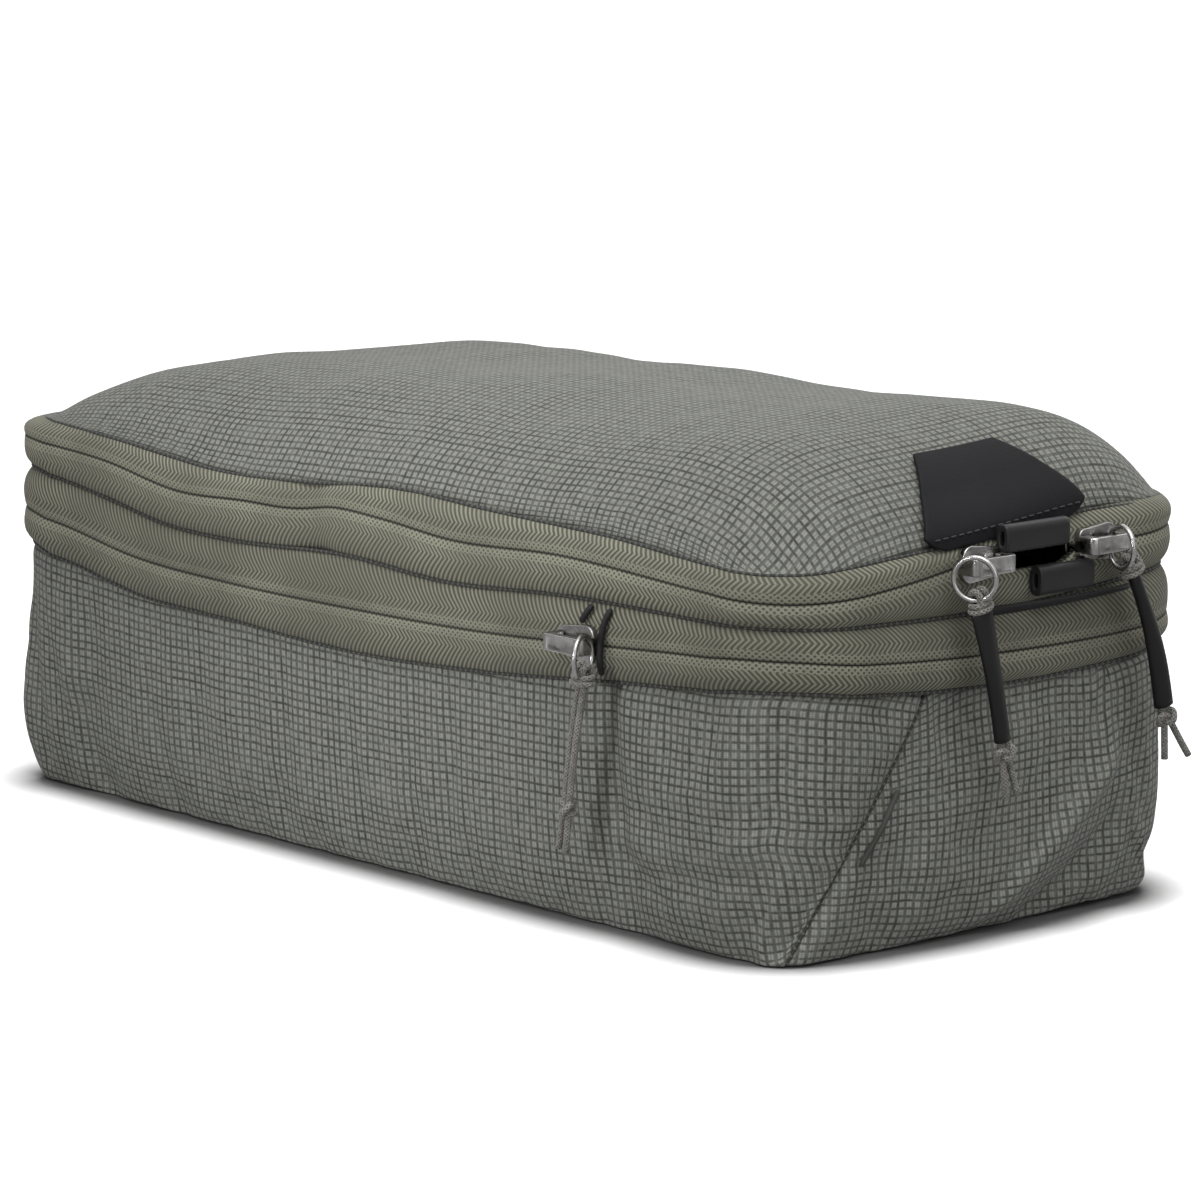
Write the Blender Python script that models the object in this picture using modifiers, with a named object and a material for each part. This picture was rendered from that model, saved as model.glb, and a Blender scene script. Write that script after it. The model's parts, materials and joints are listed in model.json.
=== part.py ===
"""Packing cube: a soft rectangular travel case with a zipped lid and an expansion zip.

Units are metres. The origin is the middle of the base on the surface that it stands on.
+Z is up, +X points to the short end with the zip pulls, and -Y is the front long side.
"""

import math

import bmesh
import bpy
from mathutils import Matrix, Vector

# ---------------------------------------------------------------- driving dimensions
BASE_LENGTH = 0.310
BASE_WIDTH = 0.130
BASE_RADIUS = 0.008
BAND_LENGTH = 0.334
BAND_WIDTH = 0.152
BAND_RADIUS = 0.028

LOWER_SEAM_Z = 0.0645
MIDDLE_SEAM_Z = 0.0845
LID_SEAM_Z = 0.1045
LID_TOP_Z = 0.1290

# How steeply the lid rises from its rim, and the rows of points up its slope.
LID_FULLNESS = 4.0
LID_SHARES = (0.0, 0.05, 0.14, 0.30, 0.55, 0.80, 1.0)

# Stations of the slanting seams between the long sides and the short ends.
SEAM_TOP = 0.68
SEAM_BOTTOM = 0.98
SEAM_MARGIN = 0.008
WALL_ROWS = 4

# Stations where the main zip ends and where the hinge fabric starts.
ZIP_END = 5.02
HINGE_START = 5.08

PANEL_THICKNESS = 0.0012
TAPE_THICKNESS = 0.0008
BINDING_THICKNESS = 0.0006
WALL_BULGE = 0.003
GAP = 0.0003

COMPRESSION_COIL_Z = 0.0745
MAIN_COIL_Z = 0.0970
TAPE_EDGE = 0.0006
COIL_SIZE = 0.0012
COIL_START = 0.0008
BINDING_HALF_HEIGHT = 0.0030
GUSSET_INSET = 0.0055

SLIDER_LENGTH = 0.014
SLIDER_HALF_HEIGHT = 0.0045
SLIDER_PLATE_TOP = 0.0024
SLIDER_INNER_PLATE = 0.0015
SLIDER_HALF_WEB = 0.00025
BRIDGE_HALF_WIDTH = 0.0016
BRIDGE_BAR = (0.0058, 0.0070)
BRIDGE_CHAMFER = 0.0008
BRIDGE_FRONT_LEG = 0.0030
BRIDGE_BACK_LEG = 0.0010
RING_RADIUS = 0.0055
RING_WIRE = 0.0006
RING_DROP = 0.0024
RING_OUT = 0.0016
RING_ALONG = 0.0020
RING_TURN = math.radians(30)

CORD_RADIUS = 0.00085
SLEEVE_RADIUS = 0.0026
SLEEVE_BORE = 0.0022
SLEEVE_LENGTH = 0.0300
HITCH_SIZE = (0.0036, 0.0056, 0.0040)
KNOT_SIZE = (0.0038, 0.0048, 0.0040)
BLOCK_EDGE = 0.0009
TAIL_LENGTH = 0.0085
TAIL_SPREAD = 0.0012
COMPRESSION_CORD_LENGTH = 0.0310

NEAR_SLIDER_Y = -0.0165
FAR_SLIDER_Y = 0.0300
COMPRESSION_SLIDER_X = 0.0945
LEAN_NEAR = math.radians(9)
LEAN_FAR = math.radians(14)
LEAN_COMPRESSION = math.radians(9)

# A grab tab's middle along Y, and its lowest and highest points.
UPPER_TAB = (0.0042, 0.0983, 0.1043)
LOWER_TAB = (0.0110, 0.0886, 0.0950)
TAB_WIDTH = 0.0220
TAB_DEPTH = 0.0034
TAB_CORNER = 0.0014

HANDLE_START_Y = -0.020
HANDLE_END_Y = 0.044
HANDLE_BOW = 0.0034
HANDLE_WIDTH = 0.0030
HANDLE_THICKNESS = 0.0016
HANDLE_Z = 0.0870

# Routes of the black cord at the closed end of the expansion zip, as (X, Z).
ANCHOR_RADIUS = 0.0009
LONG_STRAND = ((0.1062, 0.0840), (0.1048, 0.0800), (0.1040, 0.0750), (0.1036, 0.0700), (0.1035, 0.0655))
SHORT_STRAND = ((0.0992, 0.0840), (0.0980, 0.0820), (0.0966, 0.0804))

# Corners of the patch: across the end, and up the lid as a share of the way to its middle.
PATCH_CORNERS = ((-0.0215, 0.020), (0.0215, 0.020), (0.0285, 0.045), (0.0140, 0.130),
                 (-0.0140, 0.130), (-0.0285, 0.045))
PATCH_THICKNESS = 0.0010
PATCH_COLUMNS = 7

PART_NAME = "packing_cube"

# Stands a flat outline up, so that it is extruded along Y.
UPRIGHT = Matrix(((1, 0, 0), (0, 0, -1), (0, 1, 0))).to_4x4()

# name: (colour, roughness, metallic)
FINISHES = {
    "ripstop": ((0.155, 0.165, 0.145), 0.80, 0.0),
    "zip_tape": ((0.150, 0.150, 0.115), 0.85, 0.0),
    "coil": ((0.110, 0.112, 0.085), 0.60, 0.0),
    "binding": ((0.060, 0.062, 0.058), 0.85, 0.0),
    "black_leather": ((0.018, 0.018, 0.020), 0.65, 0.0),
    "black_webbing": ((0.016, 0.016, 0.018), 0.75, 0.0),
    "metal": ((0.430, 0.420, 0.400), 0.30, 1.0),
    "cord": ((0.190, 0.190, 0.160), 0.80, 0.0),
}


# ---------------------------------------------------------------- scene helpers
def clear_scene():
    for item in list(bpy.data.objects):
        bpy.data.objects.remove(item, do_unlink=True)


def make_finish(name):
    colour, roughness, metallic = FINISHES[name]
    finish = bpy.data.materials.new(name)
    finish.use_nodes = True
    shader = finish.node_tree.nodes["Principled BSDF"]
    shader.inputs["Base Color"].default_value = (*colour, 1.0)
    shader.inputs["Roughness"].default_value = roughness
    shader.inputs["Metallic"].default_value = metallic
    return finish


def link(item, finish_name, parent=None):
    """Put a new object in the part's collection, with a finish and a parent."""
    bpy.data.collections[PART_NAME].objects.link(item)
    item.data.materials.clear()
    item.data.materials.append(make_finish(finish_name))
    item.parent = parent
    return item


def make_empty(name, location, rotation=None, parent=None):
    """An empty marks a joint's axis and carries the pieces that move on it."""
    empty = bpy.data.objects.new(name, None)
    bpy.data.collections[PART_NAME].objects.link(empty)
    empty.location = location
    if rotation is not None:
        empty.rotation_euler = rotation.to_euler()
    empty.parent = parent
    return empty


def object_from_bmesh(name, mesh_data, finish_name, parent=None):
    mesh = bpy.data.meshes.new(name)
    mesh_data.to_mesh(mesh)
    mesh_data.free()
    return link(bpy.data.objects.new(name, mesh), finish_name, parent)


def solidify(item, thickness):
    """Give an open surface its thickness, on the inner side of the surface."""
    layer = item.modifiers.new("thickness", "SOLIDIFY")
    layer.thickness = thickness
    layer.offset = -1.0
    layer.use_even_offset = True


def bevel(item, width, segments=2):
    weld = item.modifiers.new("weld", "WELD")
    weld.merge_threshold = 0.00001
    edge = item.modifiers.new("edges", "BEVEL")
    edge.width = width
    edge.segments = segments
    edge.limit_method = "ANGLE"
    edge.angle_limit = math.radians(40)


# ---------------------------------------------------------------- the case's outline
def outline(station, length, width, radius, inset=0.0):
    """A point on a rounded rectangle.

    Station 0 is the middle of the +X end, 1 to 2 the front corner there, 3 the middle of the
    front side, 4 to 5 the other front corner and 6 the middle of the -X end. A negative
    station is the same point on the back half.
    """
    place = abs(station)
    beyond_middle = place > 3.0
    if beyond_middle:
        place = 6.0 - place
    half_length = length / 2 - inset
    half_width = width / 2 - inset
    corner = radius - inset
    if place < 1.0:
        x = half_length
        y = -(half_width - corner) * place
    elif place <= 2.0:
        angle = (place - 1.0) * math.pi / 2
        x = half_length - corner + corner * math.cos(angle)
        y = -(half_width - corner) - corner * math.sin(angle)
    else:
        x = (half_length - corner) * (3.0 - place)
        y = -half_width
    if beyond_middle:
        x = -x
    if station < 0:
        y = -y
    return Vector((x, y, 0.0))


def band_point(station, height, inset=0.0):
    point = outline(station, BAND_LENGTH, BAND_WIDTH, BAND_RADIUS, inset)
    point.z = height
    return point


def stations(first, last, corner_steps=5, side_steps=2):
    """Stations from first to last, close together round the corners."""
    marks = [first]
    for whole in range(math.floor(first), math.ceil(last)):
        is_corner = whole in (1, 4, -2, -5)
        steps = corner_steps if is_corner else side_steps
        marks += [whole + step / steps for step in range(steps)]
    marks = sorted({round(mark, 6) for mark in marks if first <= mark < last})
    return marks + [last]


def shares(steps):
    """Evenly spaced shares of a length, from 0 to 1."""
    return [step / steps for step in range(steps + 1)]


def sheet(name, rows, finish_name, thickness, parent=None):
    """A solid sheet through rows of points; each row runs from one edge to the other."""
    columns = len(rows[0])
    mesh_data = bmesh.new()
    bmesh.ops.create_grid(mesh_data, x_segments=columns - 1, y_segments=len(rows) - 1, size=1.0)
    mesh_data.verts.ensure_lookup_table()
    for index, vertex in enumerate(mesh_data.verts):
        vertex.co = rows[index // columns][index % columns]
    bmesh.ops.remove_doubles(mesh_data, verts=mesh_data.verts, dist=0.00002)
    bmesh.ops.recalc_face_normals(mesh_data, faces=mesh_data.faces)
    face_outward(mesh_data)
    item = object_from_bmesh(name, mesh_data, finish_name, parent)
    solidify(item, thickness)
    return item


def face_outward(mesh_data):
    """Turn the faces of an open surface away from the middle of the case."""
    middle = Vector((0.0, 0.0, MIDDLE_SEAM_Z / 2))
    outward = 0.0
    for face in mesh_data.faces:
        outward += face.normal.dot(face.calc_center_median() - middle) * face.calc_area()
    if outward < 0:
        bmesh.ops.reverse_faces(mesh_data, faces=mesh_data.faces)


def ribbon(name, first, last, heights, inset, thickness, finish_name, parent=None):
    """An upright strip that follows the band between two stations."""
    marks = stations(first, last)
    rows = [[band_point(mark, height, inset) for mark in marks] for height in heights]
    return sheet(name, rows, finish_name, thickness, parent)


# ---------------------------------------------------------------- lower body
def wall_point(top_station, bottom_station, rise):
    """A point on the lower wall, from the base at rise 0 to the lower seam at rise 1."""
    low = outline(bottom_station, BASE_LENGTH, BASE_WIDTH, BASE_RADIUS)
    high = band_point(top_station, LOWER_SEAM_Z - GAP)
    point = low.lerp(high, rise)
    out = Vector((point.x / BASE_LENGTH, point.y / BASE_WIDTH, 0.0)).normalized()
    return point + out * WALL_BULGE * math.sin(rise * math.pi)


def bottom_station(top_station):
    """The base point under a point of the lower seam on a long side's panel."""
    if top_station > 3.0:
        return 6.0 - bottom_station(6.0 - top_station)
    if top_station < 2.0:
        share = (top_station - SEAM_TOP) / (2.0 - SEAM_TOP)
        return SEAM_BOTTOM + share * (2.0 - SEAM_BOTTOM)
    return top_station


def make_side_panel(name, side):
    """A long side that wraps round both corners as far as the slanting end seams."""
    first = SEAM_TOP + SEAM_MARGIN
    marks = stations(first, 6.0 - first, corner_steps=5, side_steps=3)
    rows = []
    for rise in shares(WALL_ROWS):
        points = [wall_point(mark, bottom_station(mark), rise) for mark in marks]
        rows.append([Vector((p.x, p.y * side, p.z)) for p in points])
    sheet(name, rows, "ripstop", PANEL_THICKNESS)


def make_end_panel(name, end):
    """A short end: a panel wider at the base than at the lower seam."""
    rows = []
    for rise in shares(WALL_ROWS):
        points = []
        for share in shares(6):
            side = 1.0 - 2.0 * share
            point = wall_point(SEAM_TOP * side, (SEAM_BOTTOM - SEAM_MARGIN) * side, rise)
            points.append(Vector((point.x * end, point.y, point.z)))
        rows.append(points)
    sheet(name, rows, "ripstop", PANEL_THICKNESS)


def make_base_panel():
    inset = PANEL_THICKNESS + 2 * GAP
    marks = stations(-6.0, 6.0, corner_steps=3, side_steps=1)
    path = [outline(mark, BASE_LENGTH, BASE_WIDTH, BASE_RADIUS, inset) for mark in marks]
    flat_outline("base_panel", path[:-1], PANEL_THICKNESS, "ripstop",
                 Matrix.Translation((0, 0, PANEL_THICKNESS / 2)))


def flat_outline(name, points, thickness, finish_name, placement, parent=None):
    """A flat outline given a thickness, placed by a matrix."""
    curve = bpy.data.curves.new(name, "CURVE")
    curve.dimensions = "2D"
    curve.fill_mode = "BOTH"
    curve.extrude = thickness / 2
    spline = curve.splines.new("POLY")
    spline.points.add(len(points) - 1)
    for target, point in zip(spline.points, points):
        target.co = (point[0], point[1], 0.0, 1.0)
    spline.use_cyclic_u = True
    guide = bpy.data.objects.new(name + "_outline", curve)
    bpy.data.collections[PART_NAME].objects.link(guide)
    item = mesh_from_curve(name, guide, finish_name, parent)
    item.location, turn, _ = placement.decompose()
    item.rotation_euler = turn.to_euler()
    return item


def mesh_from_curve(name, guide, finish_name, parent=None):
    """Replace a curve object by its welded mesh."""
    bpy.context.view_layer.update()
    evaluated = guide.evaluated_get(bpy.context.evaluated_depsgraph_get())
    mesh = bpy.data.meshes.new_from_object(evaluated)
    mesh.name = name
    bpy.data.objects.remove(guide, do_unlink=True)
    mesh_data = bmesh.new()
    mesh_data.from_mesh(mesh)
    bmesh.ops.remove_doubles(mesh_data, verts=mesh_data.verts, dist=0.000005)
    bmesh.ops.recalc_face_normals(mesh_data, faces=mesh_data.faces)
    mesh_data.to_mesh(mesh)
    mesh_data.free()
    return link(bpy.data.objects.new(name, mesh), finish_name, parent)


def tube(name, points, radius, finish_name, parent=None):
    """A round cord or wire through points."""
    curve = bpy.data.curves.new(name, "CURVE")
    curve.dimensions = "3D"
    curve.bevel_depth = radius
    curve.bevel_resolution = 2
    curve.use_fill_caps = True
    spline = curve.splines.new("POLY")
    spline.points.add(len(points) - 1)
    for target, point in zip(spline.points, points):
        target.co = (*point, 1.0)
    return link(bpy.data.objects.new(name, curve), finish_name, parent)


def binding_heights(seam_z):
    return seam_z - BINDING_HALF_HEIGHT, seam_z + BINDING_HALF_HEIGHT


def make_lower_body():
    make_side_panel("front_panel", 1)
    make_side_panel("back_panel", -1)
    make_end_panel("near_end_panel", 1)
    make_end_panel("far_end_panel", -1)
    make_base_panel()
    binding_inset = PANEL_THICKNESS + 2 * GAP
    ribbon("body_seam_binding", -6, 6, binding_heights(LOWER_SEAM_Z), binding_inset,
           BINDING_THICKNESS, "binding")
    ribbon("compression_tape_lower", -6, 6, (LOWER_SEAM_Z, COMPRESSION_COIL_Z - TAPE_EDGE),
           0.0, TAPE_THICKNESS, "zip_tape")
    make_coil("compression_coil_lower", -6, 6, COMPRESSION_COIL_Z, -1)
    ribbon("expansion_gusset", -6, 6, (LOWER_SEAM_Z, MIDDLE_SEAM_Z - GAP), GUSSET_INSET,
           BINDING_THICKNESS, "ripstop")


def make_coil(name, first, last, coil_height, side, parent=None):
    """One half of a zip's coil, behind the edge of its tape; side is 1 above and -1 below."""
    near_edge = coil_height + side * COIL_START
    far_edge = near_edge + side * COIL_SIZE
    heights = (min(near_edge, far_edge), max(near_edge, far_edge))
    ribbon(name, first, last, heights, TAPE_THICKNESS + GAP, COIL_SIZE, "coil", parent)


# ---------------------------------------------------------------- upper frame and lid
def make_upper_frame(frame):
    ribbon("compression_tape_upper", -6, 6, (COMPRESSION_COIL_Z + TAPE_EDGE, MIDDLE_SEAM_Z - GAP),
           0.0, TAPE_THICKNESS, "zip_tape", frame)
    make_coil("compression_coil_upper", -6, 6, COMPRESSION_COIL_Z, 1, frame)
    ribbon("middle_seam_binding", -6, 6, binding_heights(MIDDLE_SEAM_Z), TAPE_THICKNESS + GAP,
           BINDING_THICKNESS, "binding", frame)
    ribbon("main_tape_lower", -ZIP_END, ZIP_END, (MIDDLE_SEAM_Z, MAIN_COIL_Z - TAPE_EDGE),
           0.0, TAPE_THICKNESS, "zip_tape", frame)
    make_coil("main_coil_lower", -ZIP_END, ZIP_END, MAIN_COIL_Z, -1, frame)
    make_hinge_panel("hinge_panel_lower", (MIDDLE_SEAM_Z, MAIN_COIL_Z - TAPE_EDGE), frame)
    make_grab_tab("grab_tab_lower", LOWER_TAB, frame)
    make_end_handle(frame)
    make_anchor_loop(frame)


def make_hinge_panel(name, heights, parent):
    """The fabric at the -X end, between the two ends of the main zip."""
    marks = stations(HINGE_START, 6.0)
    front = [(mark, 1) for mark in marks]
    back = [(mark, -1) for mark in reversed(marks[:-1])]
    rows = []
    for height in heights:
        points = [band_point(mark, height) for mark, _ in front + back]
        rows.append([Vector((p.x, p.y * side, p.z)) for p, (_, side) in zip(points, front + back)])
    sheet(name, rows, "ripstop", TAPE_THICKNESS, parent)


def make_grab_tab(name, place, parent):
    """A rolled black loop beside the zip, held while the sliders are pulled."""
    middle_y, low_z, high_z = place
    half_height = (high_z - low_z) / 2
    points = []
    for side_x, side_z, start in ((1, 1, 0), (-1, 1, 90), (-1, -1, 180), (1, -1, 270)):
        for step in range(4):
            angle = math.radians(start + 30 * step)
            points.append((side_x * (TAB_DEPTH / 2 - TAB_CORNER) + TAB_CORNER * math.cos(angle),
                           side_z * (half_height - TAB_CORNER) + TAB_CORNER * math.sin(angle)))
    middle = Vector((BAND_LENGTH / 2 + GAP + TAB_DEPTH / 2, middle_y, low_z + half_height))
    flat_outline(name, points, TAB_WIDTH, "black_webbing", Matrix.Translation(middle) @ UPRIGHT, parent)


def make_end_handle(parent):
    """A low strap that bows out from the middle seam on the near end."""
    outer = []
    inner = []
    for share in shares(12):
        y = HANDLE_START_Y + share * (HANDLE_END_Y - HANDLE_START_Y)
        bow = HANDLE_BOW * math.sin(share * math.pi) ** 0.8
        x = BAND_LENGTH / 2 + GAP + bow
        inner.append((x, y))
        outer.append((x + HANDLE_WIDTH, y))
    flat_outline("end_handle", outer + inner[::-1], HANDLE_THICKNESS, "black_webbing",
                 Matrix.Translation((0, 0, HANDLE_Z)), parent)


def make_anchor_loop(parent):
    """Black cord at the closed end of the expansion zip, in two short strands."""
    y = -(BAND_WIDTH / 2 + GAP + ANCHOR_RADIUS)
    for name, route in (("anchor_strand_long", LONG_STRAND), ("anchor_strand_short", SHORT_STRAND)):
        tube(name, [(x, y, z) for x, z in route], ANCHOR_RADIUS, "black_webbing", parent)


def lid_point(station, share):
    """A point of the domed lid, from its rim at share 0 to its middle at share 1."""
    rim = band_point(station, LID_SEAM_Z + 2 * GAP + PANEL_THICKNESS)
    height = (LID_TOP_Z - rim.z) * (1.0 - (1.0 - share) ** LID_FULLNESS)
    return Vector((rim.x * (1.0 - share), rim.y * (1.0 - share), rim.z + height))


def make_lid(lid):
    marks = stations(-6.0, 6.0, corner_steps=5, side_steps=3)
    rows = [[lid_point(mark, share) for mark in marks] for share in LID_SHARES]
    sheet("lid_panel", rows, "ripstop", PANEL_THICKNESS, lid)
    ribbon("main_tape_upper", -ZIP_END, ZIP_END, (MAIN_COIL_Z + TAPE_EDGE, LID_SEAM_Z),
           0.0, TAPE_THICKNESS, "zip_tape", lid)
    make_coil("main_coil_upper", -ZIP_END, ZIP_END, MAIN_COIL_Z, 1, lid)
    make_hinge_panel("hinge_panel_upper", (MAIN_COIL_Z + TAPE_EDGE, LID_SEAM_Z), lid)
    ribbon("lid_seam_binding", -6, 6, (LID_SEAM_Z - BINDING_HALF_HEIGHT, LID_SEAM_Z),
           TAPE_THICKNESS + 2 * GAP, BINDING_THICKNESS, "binding", lid)
    make_grab_tab("grab_tab_upper", UPPER_TAB, lid)
    make_patch(lid)


def make_patch(parent):
    """A leather patch that lies on the lid's slope above the zip pulls."""
    lift = 4 * GAP + PATCH_THICKNESS
    low_left, low_right, right, top_right, top_left, left = PATCH_CORNERS
    rows = []
    for first, last in ((low_left, low_right), (left, right), (top_left, top_right)):
        row = []
        for step in range(PATCH_COLUMNS):
            share = step / (PATCH_COLUMNS - 1)
            y = first[0] + share * (last[0] - first[0])
            up = first[1] + share * (last[1] - first[1])
            station = -y / (BAND_WIDTH / 2 - BAND_RADIUS) / (1.0 - up)
            slope = (lid_point(station, up + 0.01) - lid_point(station, up - 0.01)).normalized()
            across = Vector((0.0, 1.0, 0.0))
            row.append(lid_point(station, up) + across.cross(slope).normalized() * lift)
        rows.append(row)
    sheet("leather_patch", rows, "black_leather", PATCH_THICKNESS, parent)


# ---------------------------------------------------------------- sliders and pulls
def slider_frame(name, place, outward, along, parent):
    """An empty on a zip's coil; its X points outward, Y along the zip, Z across the zip."""
    across = outward.cross(along)
    turn = Matrix((outward, along, across)).transposed()
    return make_empty(name, place, turn, parent)


def make_slider(name, seat):
    """A slider: two plates joined by a thin web that runs between the tapes."""
    half = SLIDER_HALF_HEIGHT
    web = SLIDER_HALF_WEB
    inner_top = -(TAPE_THICKNESS + GAP + COIL_SIZE + GAP)
    inner_low = inner_top - SLIDER_INNER_PLATE
    profile = [(SLIDER_PLATE_TOP, -half), (SLIDER_PLATE_TOP, half), (GAP, half), (GAP, web),
               (inner_top, web), (inner_top, half), (inner_low, half), (inner_low, -half),
               (inner_top, -half), (inner_top, -web), (GAP, -web), (GAP, -half)]
    flat_outline(name + "_slider", profile, SLIDER_LENGTH, "metal", UPRIGHT, seat)
    bar_low, bar_high = BRIDGE_BAR
    end = SLIDER_LENGTH / 2
    foot = SLIDER_PLATE_TOP + GAP
    shoulder = bar_high - BRIDGE_CHAMFER
    arch = [(foot, -end), (shoulder, -end), (bar_high, -end + BRIDGE_CHAMFER),
            (bar_high, end - BRIDGE_CHAMFER), (shoulder, end), (foot, end),
            (foot, end - BRIDGE_FRONT_LEG), (bar_low, end - BRIDGE_FRONT_LEG),
            (bar_low, -end + BRIDGE_BACK_LEG), (foot, -end + BRIDGE_BACK_LEG)]
    flat_outline(name + "_bridge", arch, 2 * BRIDGE_HALF_WIDTH, "metal", Matrix.Identity(4), seat)


def make_ring(name, swing, side):
    """A wire ring that hangs from the bridge, turned part of the way along the zip."""
    bpy.ops.mesh.primitive_torus_add(major_radius=RING_RADIUS, minor_radius=RING_WIRE,
                                     major_segments=28, minor_segments=8)
    ring = bpy.context.active_object
    ring.name = name + "_ring"
    for collection in ring.users_collection:
        collection.objects.unlink(ring)
    link(ring, "metal", swing)
    turn = Matrix.Rotation(-side * RING_TURN, 3, "Z") @ Matrix.Rotation(math.pi / 2, 3, "X")
    ring.rotation_euler = turn.to_euler()
    ring.location = (RING_OUT, -side * RING_ALONG, -RING_DROP)
    ring.data.shade_smooth()


def make_cord_pull(name, hang, cord_length, has_sleeve):
    """A doubled cord below a ring, with its hitch, sleeve, knot and two tails."""
    top = -(RING_WIRE + GAP)
    add_block(name + "_pull_hitch", HITCH_SIZE, top - HITCH_SIZE[2] / 2, "cord", hang)
    cord_top = top - HITCH_SIZE[2] - GAP
    cord_bottom = cord_top - cord_length
    knot_bottom = cord_bottom - GAP - KNOT_SIZE[2]
    for label, side in (("a", -1), ("b", 1)):
        y = side * (CORD_RADIUS + GAP / 2)
        drop = [(0.0, y, cord_top - cord_length * share) for share in shares(12)]
        tube(name + "_pull_cord_" + label, drop, CORD_RADIUS, "cord", hang)
        tail = [(0.0, y + side * TAIL_SPREAD * share, knot_bottom - GAP - TAIL_LENGTH * share)
                for share in shares(5)]
        tube(name + "_pull_tail_" + label, tail, CORD_RADIUS, "cord", hang)
    add_block(name + "_pull_knot", KNOT_SIZE, knot_bottom + KNOT_SIZE[2] / 2, "cord", hang)
    if has_sleeve:
        make_sleeve(name + "_pull_sleeve", cord_top - SLEEVE_LENGTH, hang)


def add_block(name, size, height, finish_name, parent):
    """A small block with rounded edges, centred on the cord."""
    mesh_data = bmesh.new()
    bmesh.ops.create_cube(mesh_data, size=1.0)
    bmesh.ops.scale(mesh_data, vec=size, verts=mesh_data.verts)
    item = object_from_bmesh(name, mesh_data, finish_name, parent)
    item.location = (0.0, 0.0, height)
    bevel(item, BLOCK_EDGE)


def make_sleeve(name, low, parent):
    """A thin tube round both strands of a cord, turned from its wall's section."""
    wall = [(SLEEVE_RADIUS, SLEEVE_LENGTH), (SLEEVE_RADIUS, 0.0), (SLEEVE_BORE, 0.0),
            (SLEEVE_BORE, SLEEVE_LENGTH), (SLEEVE_RADIUS, SLEEVE_LENGTH)]
    mesh = bpy.data.meshes.new(name)
    mesh.from_pydata([(x, 0.0, z) for x, z in wall], [(i, i + 1) for i in range(len(wall) - 1)], [])
    item = link(bpy.data.objects.new(name, mesh), "black_webbing", parent)
    item.location = (0.0, 0.0, low)
    turn = item.modifiers.new("turn", "SCREW")
    turn.steps = 16
    turn.render_steps = 16
    turn.use_merge_vertices = True
    turn.merge_threshold = 0.00005
    weld = item.modifiers.new("weld", "WELD")
    weld.merge_threshold = 0.00001


def make_pull(name, seat, upward, lean, cord_length, has_sleeve):
    """A slider with its bridge, ring and cord; each stage hangs on an empty at its pivot.

    Upward is 1 where the seat's Z points up and -1 where it points down.
    """
    make_slider(name, seat)
    bar_middle = sum(BRIDGE_BAR) / 2
    turn_up = Matrix.Rotation(0.0 if upward > 0 else math.pi, 3, "X")
    swing = make_empty(name + "_swing", (bar_middle, 0.0, 0.0), turn_up, seat)
    make_ring(name, swing, upward)
    ring_low = (RING_OUT, -upward * RING_ALONG, -RING_DROP - RING_RADIUS)
    hang = make_empty(name + "_hang", ring_low, Matrix.Rotation(lean, 3, "X"), swing)
    make_cord_pull(name, hang, cord_length, has_sleeve)


def make_pulls(frame):
    end = Vector((1, 0, 0))
    front = Vector((0, -1, 0))
    near_place = (BAND_LENGTH / 2, NEAR_SLIDER_Y, MAIN_COIL_Z)
    near_seat = slider_frame("near_seat", near_place, end, Vector((0, 1, 0)), frame)
    make_pull("near", near_seat, 1, LEAN_NEAR, SLEEVE_LENGTH, True)
    far_place = (BAND_LENGTH / 2, FAR_SLIDER_Y, MAIN_COIL_Z)
    far_seat = slider_frame("far_seat", far_place, end, Vector((0, -1, 0)), frame)
    make_pull("far", far_seat, -1, LEAN_FAR, SLEEVE_LENGTH, True)
    compression_place = (COMPRESSION_SLIDER_X, -BAND_WIDTH / 2, COMPRESSION_COIL_Z)
    compression_seat = slider_frame("compression_seat", compression_place, front, Vector((-1, 0, 0)), None)
    make_pull("compression", compression_seat, -1, -LEAN_COMPRESSION, COMPRESSION_CORD_LENGTH, False)


# ---------------------------------------------------------------- the whole part
def main():
    clear_scene()
    collection = bpy.data.collections.new(PART_NAME)
    bpy.context.scene.collection.children.link(collection)
    make_lower_body()
    frame = make_empty("upper_frame_slide", (0, 0, 0))
    make_upper_frame(frame)
    lid = make_empty("lid_hinge", (-BAND_LENGTH / 2, 0, MAIN_COIL_Z))
    lid.parent = frame
    lid_offset = make_empty("lid_offset", (BAND_LENGTH / 2, 0, -MAIN_COIL_Z), parent=lid)
    make_lid(lid_offset)
    make_pulls(frame)


main()
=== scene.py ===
import math

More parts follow.
